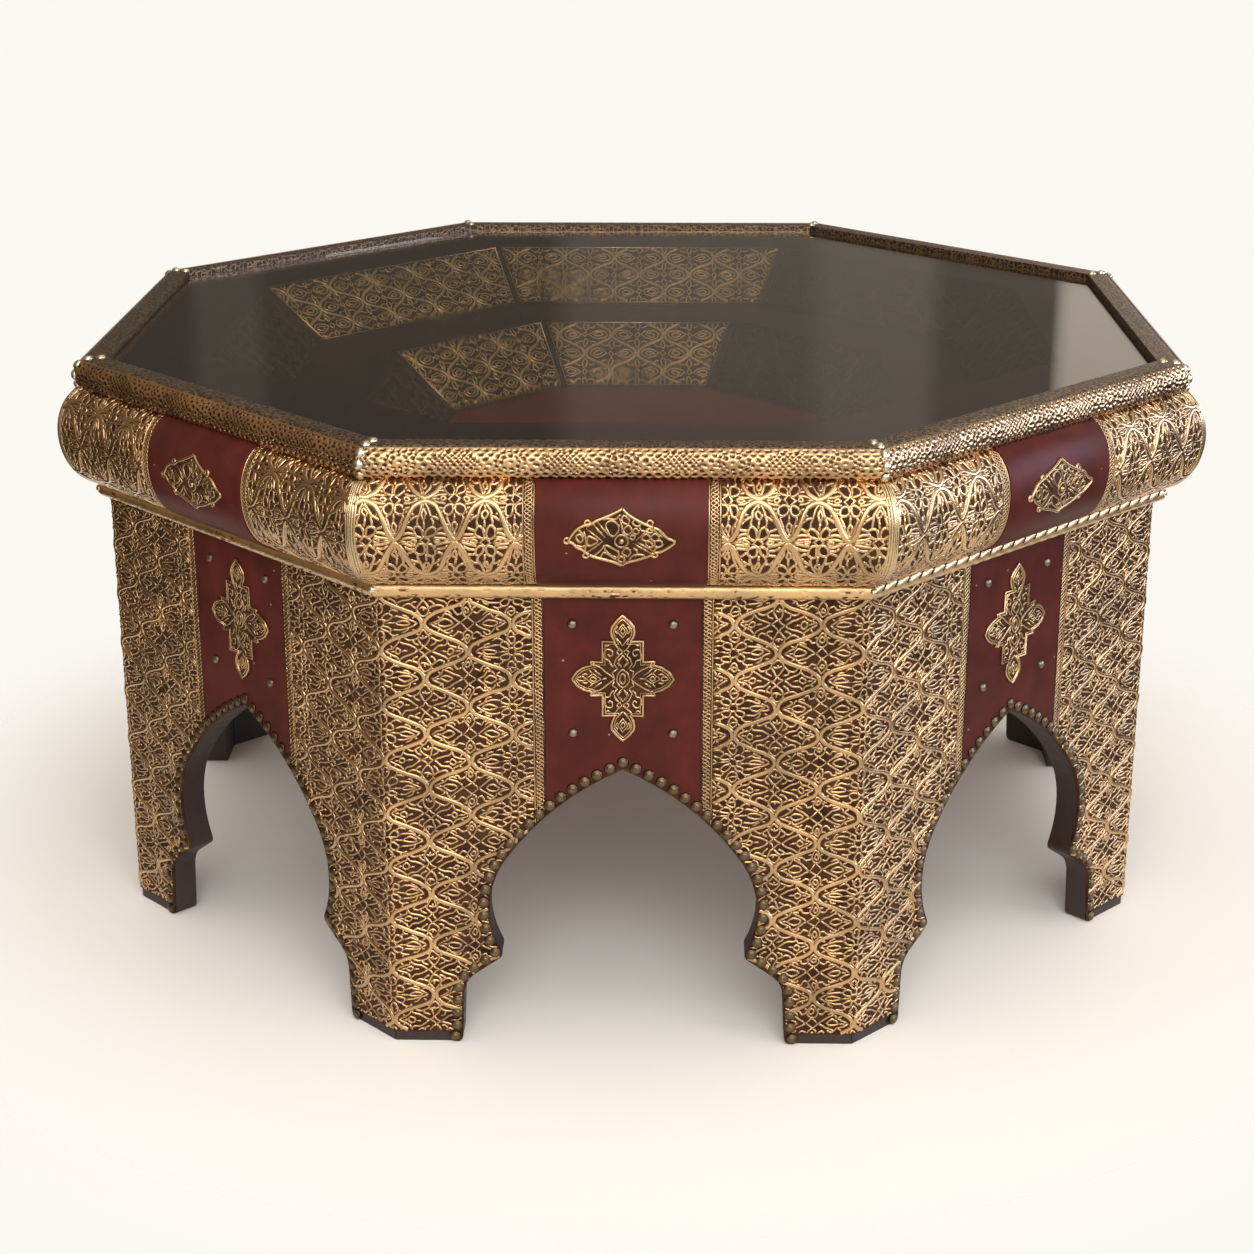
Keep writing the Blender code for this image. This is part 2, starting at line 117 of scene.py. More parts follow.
ROLL = rail_section("roll_rail_1")
ROLL_BACK = min(r for r, z in ROLL)
ROLL_NOSE, NOSE_HEIGHT = max(ROLL)
ROLL_TOP = max(z for r, z in ROLL)
SHOULDER = max(r for r, z in ROLL if z == ROLL_TOP)
NECK = min(r for r, z in ROLL if r > ROLL_BACK + SLACK)
ROLL_BOTTOM = max(z for r, z in ROLL if ROLL_BACK + SLACK < r < NECK + SLACK and z < NOSE_HEIGHT)
BEAD_BOTTOM = min(z for r, z in ROLL)
BEAD_HALF = (ROLL_BOTTOM - BEAD_BOTTOM) / 2
BEAD_REACH = max(r for r, z in ROLL if z < ROLL_BOTTOM) - NECK
RAIL = rail_section("frame_rail_1")
RAIL_OUTER = max(r for r, z in RAIL)
RAIL_TOP = max(z for r, z in RAIL)
RAIL_SIGHT = min(r for r, z in RAIL if z == RAIL_TOP)
RAIL_BOTTOM = min(z for r, z in RAIL)
RAIL_ROUND = RAIL_TOP - max(z for r, z in RAIL if r == RAIL_OUTER)
RAIL_UNDER = min(z for r, z in RAIL if r == RAIL_OUTER) - RAIL_BOTTOM
PANEL_LOW, PANEL_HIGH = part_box("leather_panel_1")
PANEL_HALF = PANEL_HIGH[0]
SKIN_FACE = -PANEL_LOW[1]
SKIN_TOP = PANEL_HIGH[2]
FOLD = SKIN_FACE * MITRE
BAND_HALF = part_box("roll_band_1")[1][0]
MEDAL_LOW, MEDAL_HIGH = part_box("panel_medallion_1")
MEDAL_HEIGHT = (MEDAL_LOW[2] + MEDAL_HIGH[2]) / 2
TRAY = ring_section("well_upper_tray")
DECK_TOP = max(z for r, z in TRAY)
WELL_MOUTH = min(r for r, z in TRAY if z == DECK_TOP)
LEDGE_TOP = sorted({z for r, z in TRAY})[1]
LEDGE_OUTER = max(r for r, z in TRAY if z == LEDGE_TOP)
LEDGE_INNER = min(r for r, z in TRAY if z == LEDGE_TOP)
FLOOR_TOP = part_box("well_floor")[1][2]
FLOOR_REACH = min(r for r, z in ring_section("well_lower_tray"))


# ---- settings a user would change ----

def linear(hex_colour):
    """A written sRGB colour as linear red, green, blue and alpha."""
    parts = [int(hex_colour[i:i + 2], 16) / 255 for i in (1, 3, 5)]
    return [c / 12.92 if c <= 0.04045 else ((c + 0.055) / 1.055) ** 2.4 for c in parts] + [1.0]


def length(name, description, default):
    """A setting in metres."""
    return bpy.props.FloatProperty(name=name, description=description, default=default, min=0.0, precision=4,
                                   unit="LENGTH")


def colour(name, description, default):
    """A setting that is a colour, written as sRGB."""
    return bpy.props.FloatVectorProperty(name=name, description=description, default=linear(default), size=4,
                                         min=0.0, max=1.0, subtype="COLOR")


class BrassworkSizes(bpy.types.PropertyGroup):
    """Sizes of the chased brass."""
    leg_cell_width: length("Leg cell width", "Width of one lattice cell on the legs", 0.068)
    leg_cell_height: length("Leg cell height", "Height of one lattice cell on the legs", 0.046)
    roll_cell_width: length("Roll cell width", "Width of one lattice cell on the roll", 0.045)
    roll_cell_height: length("Roll cell height", "Height of one lattice cell round the roll", 0.064)
    well_cell_width: length("Well cell width", "Width of one lattice cell in the well", 0.053)
    well_cell_height: length("Well cell height", "Height of one lattice cell in the well", 0.046)
    rail_repeat: length("Rail repeat", "Distance between rosettes along the top rail", 0.083)
    band_width: length("Lattice band width", "Width of the broad lattice bands", 0.0039)
    line_width: length("Line width", "Width of the fine chased lines", 0.0018)
    relief: length("Relief", "How far the broad bands stand off the ground", 0.0012)
    plait_width: length("Plait width", "Width of the plaited strips beside the leather", 0.0098)


class TrimSizes(bpy.types.PropertyGroup):
    """Sizes of the nails, the rope bead and the mitre straps."""
    arch_nail: length("Arch nail", "Diameter of the nails round the arches", 0.0098)
    arch_nail_step: length("Arch nail spacing", "Distance between arch nails", 0.0115)
    panel_nail: length("Panel nail", "Diameter of the four nails on each panel", 0.0082)
    mitre_nail: length("Mitre nail", "Diameter of the bright nails down each mitre of the rail", 0.0086)
    rope_pitch: length("Rope pitch", "Length of one twist of the rope bead", 0.0145)
    strap: length("Roll strap", "Width of the polished strap on each mitre of the roll", 0.0078)


class TableColours(bpy.types.PropertyGroup):
    """Main colours of the finishes."""
    brass: colour("Brass", "Rubbed crests of the chased brass", "#E0B278")
    patina: colour("Patina", "Dark ground behind the chased brass", "#3C2517")
    leather: colour("Leather", "Oxblood leather", "#541F17")
    bronze: colour("Bronze", "Top face of the frame", "#54443A")
    stain: colour("Wood stain", "Dark stained wood", "#30201A")
    smoke: colour("Smoke", "Tint of the glass, per face", "#D6C9B8")
    floor: colour("Floor", "Plain studio floor", "#FBF8F4")


# ---- finishes ----

def fill(node, inputs):
    """Sets the node's inputs, to values or to the sockets that feed them."""
    for key, value in inputs.items():
        if isinstance(value, bpy.types.NodeSocket):
            node.id_data.links.new(value, node.inputs[key])
        else:
            node.inputs[key].default_value = value


def add(tree, kind, inputs=None, **settings):
    """Adds one node with its settings and its inputs."""
    node = tree.nodes.new(kind)
    for name, value in settings.items():
        setattr(node, name, value)
    fill(node, inputs or {})
    return node


class Finish:
    """A material being made: textures on the piece, by their real size, and the colours and values they give."""

    def __init__(self, name):
        self.material = bpy.data.materials.new(name)
        self.material.use_nodes = True
        self.tree = self.material.node_tree
        self.shader = self.tree.nodes["Principled BSDF"]
        self.place = add(self.tree, "ShaderNodeTexCoord").outputs["Object"]

    def stretched(self, scale, turn=0.0):
        """The place on the piece, scaled and turned about the Z axis."""
        return add(self.tree, "ShaderNodeMapping",
                   {"Vector": self.place, "Rotation": (0.0, 0.0, turn), "Scale": scale}).outputs[0]

    def noise(self, size, detail, place=None, **more):
        """Clouds of a size."""
        spot = self.place if place is None else place
        return add(self.tree, "ShaderNodeTexNoise",
                   {"Vector": spot, "Scale": 1 / size, "Detail": detail, **more}).outputs["Fac"]

    def cells(self, size, feature="F1"):
        """Distances from the middles, or from the edges, of cells of a size."""
        return add(self.tree, "ShaderNodeTexVoronoi", {"Vector": self.place, "Scale": 1 / size},
                   feature=feature).outputs["Distance"]

    def crest(self):
        """How far up the relief the place lies."""
        return add(self.tree, "ShaderNodeAttribute", attribute_name="crest").outputs["Fac"]

    def ramp(self, value, start=0.0, end=1.0, low=0.0, high=1.0, **settings):
        """The value's range from start to end, carried over to low to high."""
        return add(self.tree, "ShaderNodeMapRange", {"Value": value, "From Min": start, "From Max": end,
                                                     "To Min": low, "To Max": high}, **settings).outputs[0]

    def mix(self, part, first, second):
        """The first colour going over into the second."""
        return add(self.tree, "ShaderNodeMix", {0: part, 6: first, 7: second}, data_type="RGBA").outputs[2]

    def bump(self, height, strength, depth=0.0004):
        """Small marks that catch the light."""
        return add(self.tree, "ShaderNodeBump", {"Height": height, "Strength": strength, "Distance": depth}).outputs[0]

    def clear(self, part, tint):
        """Lets a part of the light straight through."""
        gap = add(self.tree, "ShaderNodeBsdfTransparent", {"Color": tint}).outputs[0]
        mixed = add(self.tree, "ShaderNodeMixShader", {0: part, 1: self.shader.outputs[0], 2: gap}).outputs[0]
        fill(self.tree.nodes["Material Output"], {"Surface": mixed})

    def made(self, inputs):
        """The material, its shader fed with the inputs."""
        fill(self.shader, inputs)
        return self.material


def colours():
    """The main colours as they are set."""
    return bpy.context.scene.table_colours


def darker(shade, part):
    """The colour at a part of its strength."""
    return [c * part for c in shade[:3]] + [1.0]


@functools.cache
def chased_brass(tone="gold"):
    """Sheet brass, chased by hand: crests rubbed bright, feet of lines darkened by age and painted shade."""
    bright, age, smooth, dull = {
        "gold": (list(colours().brass), 0.52, 0.18, 0.38),
        "red gold": (linear("#DCAB76"), 0.52, 0.18, 0.38),
        "old gold": (linear("#FFE8B0"), 0.66, 0.24, 0.44),
        "polished": (linear("#E4B97E"), 0.74, 0.38, 0.54),
        "burnished": (linear("#DDBD8C"), 0.60, 0.18, 0.32),
        # Shaded old gold is old gold made darker and duller as painted shade, for the well's sides away from the light.
        "tarnished": (linear("#5E5140"), 0.60, 0.44, 0.62),
    }[tone]
    finish = Finish(f"chased brass {tone}")
    # Handling leaves clouds some 40 mm across; hammer and chaser marks are about 2 mm.
    cloud, marks = finish.noise(0.040, 3.0), finish.noise(0.002, 2.0)
    # The rubbed mask also carries painted shade: low on each line the colour goes near black, partly age in the
    # hollows, partly painted shade where the line meets the ground.
    rubbed = finish.ramp(finish.crest(), 0.0, 0.5)
    aged = finish.mix(finish.ramp(cloud, 0.35, 0.68), darker(bright, age), bright)
    return finish.made({
        "Base Color": finish.mix(rubbed, darker(bright, 0.10), aged),
        "Roughness": finish.ramp(marks, low=smooth, high=dull),
        "Normal": finish.bump(marks, 0.25),
        "Metallic": 1.0, "Coat Weight": rubbed, "Coat Roughness": 0.26})


@functools.cache
def patinated_brass(tone="dark"):
    """Brass left dark behind the relief: brown oxide in soft blotches with fine punch pits, hardly shining."""
    # Umber is olive made darker as painted shade, for the well's sides away from the light.
    patina, metallic = {"dark": (list(colours().patina), 0.0), "olive": (linear("#554529"), 0.9),
                        "umber": (linear("#3A3026"), 0.9)}[tone]
    finish = Finish(f"patinated brass {tone}")
    blotch, pits = finish.noise(0.015, 4.0), finish.cells(0.0018)
    return finish.made({
        "Base Color": finish.mix(finish.ramp(blotch, 0.3, 0.72), darker(patina, 0.55), darker(patina, 1.9)),
        "Roughness": finish.ramp(pits, low=0.62, high=0.42),
        "Normal": finish.bump(pits, 0.5),
        "Metallic": metallic, "Specular IOR Level": 0.1})


@functools.cache
def oxblood_leather(flecked=False):
    """Vegetable-tanned hide, dyed oxblood and waxed: mottled dye, fine pores, a soft sheen, and pale nicks.

    Flecked, its dye is lighter and its nicks lie closer."""
    dye = darker(colours().leather, 2.7 if flecked else 1.0)
    finish = Finish("oxblood leather flecked" if flecked else "oxblood leather")
    mottle = finish.noise(0.035, 5.0, Roughness=0.6)
    streak = finish.noise(0.020, 2.0, finish.stretched((1.0, 1.0, 0.22)))
    pores, nicks = finish.cells(0.0013, "DISTANCE_TO_EDGE"), finish.cells(0.016 if flecked else 0.026)
    base = finish.mix(finish.ramp(mottle, 0.32, 0.68), darker(dye, 0.72), darker(dye, 1.22))
    dyed = finish.mix(finish.ramp(streak, 0.40, 0.75, high=0.5), base, darker(dye, 0.62))
    return finish.made({
        "Base Color": finish.mix(finish.ramp(nicks, 0.045, 0.03, high=0.55), dyed, linear("#B59A86")),
        "Roughness": finish.ramp(mottle, low=0.34, high=0.56),
        "Normal": finish.bump(pores, 0.22, 0.0003),
        "IOR": 1.48, "Specular IOR Level": 0.17})


@functools.cache
def aged_nail(tone="brown"):
    """Stamped brass nail heads: crowns polished by hands and dusters, rims darkened by grime and painted shade."""
    dull, clean = {"brown": ("#4A3B2D", "#8E785A"), "pale": ("#6C5E4C", "#AA9A7E")}[tone]
    finish = Finish(f"aged brass nail {tone}")
    stain = finish.noise(0.006, 2.0)
    worn = finish.mix(stain, linear(dull), linear(clean))
    return finish.made({
        # Down the head towards its rim the colour goes near black: grime in the hollows and painted shade.
        "Base Color": finish.mix(finish.ramp(finish.crest(), 0.05, 0.9), linear("#2E2117"), worn),
        "Roughness": finish.ramp(stain, low=0.30, high=0.52),
        "Metallic": 1.0})


@functools.cache
def bright_nickel():
    """Nickel-plated nails: near white, glossy, with brass showing through where they are rubbed."""
    finish = Finish("bright nickel plate")
    rub = finish.noise(0.009, 3.0)
    return finish.made({
        "Base Color": finish.mix(finish.ramp(rub, 0.40, 0.68), linear("#E6DCC8"), linear("#C4A878")),
        "Roughness": finish.ramp(rub, low=0.22, high=0.40),
        "Metallic": 1.0})


@functools.cache
def bronzed_brass():
    """Brass sheet bronzed dark brown, with a fine net of chased lines and specks where the bronzing is worn."""
    bronze = list(colours().bronze)
    finish = Finish("bronzed brass")
    cloud, speck = finish.noise(0.030, 4.0), finish.noise(0.0022, 2.0)
    raised = finish.ramp(finish.cells(0.0048, "DISTANCE_TO_EDGE"), 0.20, 0.06)
    thin = add(finish.tree, "ShaderNodeMath", {0: raised, 1: speck}, operation="MULTIPLY").outputs[0]
    base = finish.mix(cloud, darker(bronze, 0.45), darker(bronze, 1.05))
    return finish.made({
        "Base Color": finish.mix(finish.ramp(thin, 0.25, 0.65, high=0.8), base, linear("#B08E64")),
        "Roughness": finish.ramp(speck, low=0.30, high=0.52),
        "Normal": finish.bump(raised, 0.5),
        "Metallic": 0.75})


@functools.cache
def stained_wood(scratched=False):
    """Softwood stained almost black and rubbed with wax: faint streaked grain, and on the deck pale scratches."""
    stain = list(colours().stain)
    finish = Finish("stained deck wood" if scratched else "stained wood")
    along = finish.stretched((1.0, 1.0, 1.0 if scratched else 0.08))
    grain = finish.noise(0.006, 4.0, along, Distortion=0.4)
    scratch = finish.noise(0.003, 3.0, finish.stretched((0.05, 1.0, 1.0), 0.6))
    scored = finish.ramp(scratch, 0.66, 0.74, high=0.5 if scratched else 0.12)
    base = finish.mix(grain, darker(stain, 0.6), darker(stain, 1.5))
    return finish.made({
        "Base Color": finish.mix(scored, base, linear("#7A6A58")),
        "Roughness": finish.ramp(grain, low=0.40, high=0.62),
        "Normal": finish.bump(grain, 0.2)})


@functools.cache
def smoked_glass():
    """Float glass tinted grey-brown: a clear mirror at a low angle, with faint smears. It lets the lamps through."""
    smoke = list(colours().smoke)
    finish = Finish("smoked glass")
    smear = finish.noise(0.12, 3.0)
    finish.clear(add(finish.tree, "ShaderNodeLightPath").outputs["Is Shadow Ray"], smoke)
    return finish.made({"Base Color": smoke, "Roughness": finish.ramp(smear, 0.45, 0.75, high=0.05),
                        "Transmission Weight": 1.0, "IOR": 1.52})


# ---- drawing ornament in the flat ----

def flowing(points, closed, spans):
    """A smooth line through the points, in so many spans from one to the next."""
    count = len(points)
    line = []
    for i in range(count if closed else count - 1):
        start, end = points[i], points[(i + 1) % count]
        before = points[i - 1] if closed or i else start
        after = points[(i + 2) % count] if closed or i + 2 < count else end
        handles = start + (end - before) / 6, end - (after - start) / 6
        line += geometry.interpolate_bezier(start, *handles, end, spans + 1)[:-1]
    return line if closed else line + [points[-1]]


def circle(centre, radius, count):
    """A closed round line."""
    angles = [math.tau * i / count for i in range(count)]
    return [Vector(centre) + radius * Vector((math.cos(a), math.sin(a))) for a in angles]


def straight(start, end, step):
    """A straight line with points along it, so that it can be trimmed and bent."""
    start, end = Vector(start), Vector(end)
    count = max(1, math.ceil((end - start).length / step))
    return [start.lerp(end, i / count) for i in range(count + 1)]


def flipped(points, across=-1, upright=1):
    """The points mirrored where a factor is -1."""
    return [Vector((p[0] * across, p[1] * upright)) for p in points]


def mirrored(strokes, across, upright):
    """The strokes with their mirror images."""
    flips = [(1, 1)] + [(-1, 1)] * across + [(1, -1)] * upright + [(-1, -1)] * (across and upright)
    return [(flipped(line, *flip), closed) for flip in flips for line, closed in strokes]


def drawn(table, scale=(MM, MM)):
    """Strokes of a table of ornament."""
    strokes = []
    for marks, spans, *points in table:
        closed = "o" in marks
        line = [Vector((x * scale[0], y * scale[1])) for x, y in points]
        if spans:
            line = flowing(line, closed, spans)
        strokes += mirrored([(line, closed)], "x" in marks, "y" in marks)
    return strokes


def moved(strokes, offset):
    """The strokes moved by an offset."""
    return [([p + Vector(offset) for p in line], closed) for line, closed in strokes]


def by_hand(strokes, sway, patch=0.011):
    """The strokes with the small unsteadiness of hand work, which changes over a patch."""
    return [([p + sway * noise.noise_vector(Vector((p.x, p.y, 0.0037)) / patch).xy for p in line], closed)
            for line, closed in strokes]


def within(outline, margin):
    """A test for points inside the outline and at least the margin away from it."""
    edges = [(a[0], a[1], b[0] - a[0], b[1] - a[1]) for a, b in zip(outline, outline[1:] + outline[:1])]

    def test(point):
        x, y = point
        inside = False
        for ax, ay, dx, dy in edges:
            if (ay > y) != (ay + dy > y) and x < ax + (y - ay) * dx / dy:
                inside = not inside
            t = min(1.0, max(0.0, ((x - ax) * dx + (y - ay) * dy) / (dx * dx + dy * dy)))
            if (x - ax - t * dx) ** 2 + (y - ay - t * dy) ** 2 < margin * margin:
                return False
        return inside
    return test


def trimmed(strokes, allowed, shortest=0.0012):
    """The parts of the strokes that lie where they are allowed, apart from very short ones."""
    def edge_point(inner, outer):
        for _ in range(7):
            middle = (inner + outer) / 2
            inner, outer = (middle, outer) if allowed(middle) else (inner, middle)
        return inner

    kept = []
    for line, closed in strokes:
        flags = [allowed(p) for p in line]
        if all(flags):
            kept.append((line, closed))
            continue
        if closed:
            first = flags.index(False)
            line, flags = line[first:] + line[:first + 1], flags[first:] + flags[:first + 1]
        run = []
        for i, p in enumerate(line):
            if flags[i]:
                if not run and i:
                    run.append(edge_point(p, line[i - 1]))
                run.append(p)
            elif run:
                kept.append((run + [edge_point(line[i - 1], p)], False))
                run = []
        if len(run) > 1:
            kept.append((run, False))
    return [(line, closed) for line, closed in kept if sum((b - a).length for a, b in zip(line, line[1:])) > shortest]


# Tables of ornament, in millimetres from its middle. A row has its marks, the number of spans between its points (0
# keeps the corners) and its points. Of the marks, x adds the mirror image across, y the one upright, and o closes the
# line. The lattice cells are drawn for one size and scaled; the legs have three kinds of cell in turn.
CELL_HALF_WIDE, CELL_HALF_HIGH = 0.034, 0.023
STAR_LINES = (
    ("o", 1, (4.8, 0), (1.9, 1.5), (0, 4), (-1.9, 1.5), (-4.8, 0), (-1.9, -1.5), (0, -4), (1.9, -1.5)),
    ("yo", 2, (0, 4), (3.6, 8), (4.7, 11.8), (2.7, 15), (0, 17.4), (-2.7, 15), (-4.7, 11.8), (-3.6, 8)),
    ("y", 2, (-3.4, 11.6), (0, 10), (3.4, 11.6)),
    ("y", 0, (0, 10), (0, 13.2)),
    ("xy", 2, (31, 0), (25.5, 2.9), (21.4, 4.5), (19.4, 7.9)),
    ("xy", 2, (19.4, 7.9), (16.4, 5.2), (11.2, 3.7), (4.8, 0)),
    ("xo", 2, (22.8, 0), (20, 2.5), (17.2, 0), (20, -2.5)),
    ("x", 0, (22.8, 0), (27.2, 0)),
    ("x", 0, (17.2, 0), (12.2, 0)),
    ("xy", 2, (4.6, 11.6), (8.4, 9.4), (12.2, 8), (15.4, 9.8), (14.6, 12.2)),
    ("xy", 2, (9.2, 9), (8, 6.2), (4.4, 4.6)),
    ("xy", 0, (25, 3.2), (27.4, 5.4)),
    ("xy", 0, (19.4, 7.9), (18.6, 10.4)),
    ("xy", 0, (3.8, 14), (6.6, 14.4)),
)
FLOWER_LINES = (
    ("o", 2, (3.7, 0), (1.8, 2.9), (-1.8, 2.9), (-3.7, 0), (-1.8, -2.9), (1.8, -2.9)),
    ("xyo", 2, (2, 2.8), (6, 2.4), (9.2, 5), (6.4, 7.8), (2.6, 6.4)),
    ("yo", 2, (0, 7.6), (3.4, 11.6), (0, 17), (-3.4, 11.6)),
    ("y", 0, (-2.7, 12.4), (2.7, 12.4)),
    ("xy", 2, (29, 0), (22.4, 3.2), (16, 5.6), (9.2, 5)),
    ("xo", 2, (24, 0), (18, 2.3), (12, 0), (18, -2.3)),
    ("x", 0, (12, 0), (3.7, 0)),
    ("xy", 2, (6.4, 7.8), (10.2, 10.6), (14.8, 9.6)),
    ("xy", 2, (22.4, 3.2), (20.4, 6.6), (16.6, 7.8)),
    ("xy", 0, (24.4, 4.4), (27.2, 5)),
    ("xy", 0, (3, 13.4), (5.8, 15.2)),
    ("xy", 0, (10.2, 10.6), (9.6, 13.4)),
)
CROSS_LINES = (
    ("o", 0, (5.4, 0), (0, 4.8), (-5.4, 0), (0, -4.8)),
    ("xy", 2, (5.4, 0), (11.8, 4.2), (18.6, 7.6), (20.8, 4.4), (30, 0)),
    ("xo", 2, (22.4, 0), (17.2, 2.9), (11.4, 0), (17.2, -2.9)),
    ("yo", 2, (0, 4.8), (4.2, 9.6), (2.8, 13.4), (0, 17.2), (-2.8, 13.4), (-4.2, 9.6)),
    ("yo", 2, (0, 9), (1.9, 11.2), (0, 13.6), (-1.9, 11.2)),
    ("xy", 2, (4.2, 9.6), (8.2, 7.8), (10.6, 10.8), (14.6, 10.4)),
    ("xy", 2, (18.6, 7.6), (15, 9.2), (12, 6.8)),
    ("x", 0, (22.4, 0), (26.4, 0)),
    ("xy", 0, (20.8, 4.4), (24.4, 6.6)),
    ("xy", 0, (3, 13.4), (6.4, 13.2)),
)
LEG_CELLS = (STAR_LINES, FLOWER_LINES, CROSS_LINES)
ROLL_LINES = (
    ("o", 0, (4.4, 0), (0, 4.1), (-4.4, 0), (0, -4.1)),
    ("xyo", 2, (3.4, 1), (5, 6.6), (9.4, 8.4), (12.8, 5.4), (10.4, 1.4)),
    ("xy", 2, (31.5, 0), (26.5, 3.4), (20.5, 4.4), (15.6, 6.2), (12.8, 5.4)),
    ("xo", 2, (26.4, 0), (22.6, 1.9), (18.8, 0), (22.6, -1.9)),
    ("x", 0, (18.8, 0), (11.4, 0)),
    ("x", 0, (26.4, 0), (31, 0)),
    ("xy", 2, (20.5, 4.4), (20, 7.8), (17, 11.6)),
    ("xy", 2, (9.4, 8.4), (11.2, 11.8), (12.4, 14.6)),
    ("y", 0, (0, 12), (0, 21)),
    ("yo", 2, (0, 6.4), (1.9, 9.2), (0, 12), (-1.9, 9.2)),
    ("xy", 2, (3.6, 6.4), (3, 12), (1.2, 19)),
    ("xy", 2, (6.4, 7.8), (6.8, 12.6), (4.6, 17.2)),
)
WELL_LINES = (
    ("o", 0, (3.4, 0), (0, 3.2), (-3.4, 0), (0, -3.2)),
    ("xo", 2, (29, 0), (18.5, 5.8), (5.6, 0), (18.5, -5.8)),
    ("xo", 2, (23, 0), (17.5, 2.7), (11, 0), (17.5, -2.7)),
    ("yo", 2, (0, 5.2), (3.2, 10.4), (0, 16.6), (-3.2, 10.4)),
    ("xy", 2, (4.4, 8.8), (9, 8.6), (13.4, 11)),
)


def ogee(way):
    """Swing of a leg's lattice band: it runs straight up through the nodes and lies flat half-way between them."""
    return (math.cos(math.pi * way) - 0.07 * math.cos(3 * math.pi * way)) / 0.93


def onion(way):
    """Swing of a roll's lattice band: it crosses at every second node and arches over at the others."""
    apart = abs((way + 1) % 2 - 1)
    steep = apart + 0.26 * apart * math.sin(math.pi * apart) ** 3
    return 0.25 + 0.75 * math.cos(math.pi * steep) - 0.5 * math.sin(math.pi * apart / 2)


def lattice(half_wide, half_high, low, high, cells, origin, wave=ogee, turned=False):
    """Broad bands that meet at nodes, and the fine lines in each cell, over the box from low to high.

    A node lies at the origin. Turned, the cells stand upright."""
    pinch, sway, steps = 0.0010, 0.0006, 8
    facing = (lambda p: Vector(p).yx) if turned else Vector
    low, high = facing(low) - facing(origin), facing(high) - facing(origin)
    kinds = [drawn(table, (MM * half_wide / CELL_HALF_WIDE, MM * half_high / CELL_HALF_HIGH)) for table in cells]
    start, end = math.floor(low.y / half_high) - 1, math.ceil(high.y / half_high) + 1
    bands, lines = [], []
    for column in range(math.floor(low.x / half_wide) - 1, math.ceil(high.x / half_wide) + 2):
        swing = (half_wide / 2 - pinch) * (1 if column % 2 else -1)
        bands.append(([Vector(((column + 0.5) * half_wide + swing * wave(y / steps), y * half_high / steps))
                       for y in range(start * steps, end * steps + 1)], False))
        for row in range(start, end + 1):
            if (column + row) % 2:
                lines += moved(kinds[(column + 3 * row) // 2 % len(kinds)], (column * half_wide, row * half_high))
    bands, lines = (moved([([facing(p) for p in line], closed) for line, closed in group], origin)
                    for group in (bands, lines))
    return by_hand(bands, sway * 1.6, 0.013), by_hand(lines, sway * 3.2, 0.007)


def plait(start, run, width):
    """The edge lines and the woven strands of a plaited strip from start, run long and upright."""
    x, y = start
    inset, pitch, steps = 0.0007, 0.0100, 9
    edges = [(straight((x + dx, y), (x + dx, y + run), 0.006), False) for dx in (inset, width - inset)]
    count = int(run / pitch * steps)
    strands = [([Vector((x + width / 2 + 0.29 * width * math.sin(math.tau * (i / steps + strand / 3)),
                         y + run * i / count)) for i in range(count + 1)], False) for strand in range(3)]
    return edges, by_hand(strands, 0.0007, 0.004)


# ---- raising ornament and placing it ----

# Sections of raised lines, in parts of their width and height, and halves of nail heads, in parts of their radius.
BROAD = ((-0.5, -0.12), (-0.40, 0.62), (-0.18, 1.0), (0.18, 1.0), (0.40, 0.62), (0.5, -0.12))
FINE = ((-0.5, -0.15), (0.0, 1.0), (0.5, -0.15))
WIRE = ((-0.5, -0.15), (-0.42, 0.55), (0.0, 1.0), (0.42, 0.55), (0.5, -0.15))
FLAT = ((-0.5, -0.15), (-0.30, 1.0), (0.30, 1.0), (0.5, -0.15))
NAIL_HEAD = ((1.0, -0.1), (0.97, 0.30), (0.80, 0.62), (0.62, 0.62), (0.50, 0.92), (0.22, 1.0), (0.0, 0.86))
NAIL_DOME = ((1.0, -0.1), (0.90, 0.42), (0.62, 0.80), (0.30, 0.97), (0.0, 1.0))


def new_curve(name, strokes, dimensions):
    """A curve object of the strokes, in the scene."""
    curve = bpy.data.curves.new(name, "CURVE")
    curve.dimensions = dimensions
    for points, closed in strokes:
        spline = curve.splines.new("POLY")
        spline.points.add(len(points) - 1)
        spline.points.foreach_set("co", [c for x, y in points for c in (x, y, 0.0, 1.0)])
        spline.use_cyclic_u = closed
    item = bpy.data.objects.new(name, curve)
    bpy.context.scene.collection.objects.link(item)
    return item


def raise_lines(bm, strokes, width, height, section=FINE, shine=1.0):
    """Adds the strokes to the flat mesh as raised lines of a width and height; shine is how far they are rubbed."""
    shape = new_curve("section", [([(x * width, y * height) for x, y in section], True)], "2D")
    shape.data.fill_mode = "NONE"
    sweep = new_curve("lines", strokes, "3D")
    sweep.data.twist_mode, sweep.data.use_fill_caps = "Z_UP", True
    sweep.data.bevel_mode, sweep.data.bevel_object = "OBJECT", shape
    mesh = bpy.data.meshes.new_from_object(sweep.evaluated_get(bpy.context.evaluated_depsgraph_get()))
    new = bmesh.new()
    new.from_mesh(mesh)
    bmesh.ops.remove_doubles(new, verts=new.verts, dist=WELD)
    mark_crest(new, height / shine)
    new.to_mesh(mesh)
    new.free()
    bm.from_mesh(mesh)
    bpy.data.meshes.remove(mesh)
    for item in (sweep, shape):
        curve = item.data
        bpy.data.objects.remove(item)
        bpy.data.curves.remove(curve)


def mark_crest(bm, height):
    """Keeps on each point how far up the relief it lies, which the finishes read."""
    crest = bm.verts.layers.float.new("crest")
    for v in bm.verts:
        v[crest] = min(1.0, max(0.0, v.co.z / height))


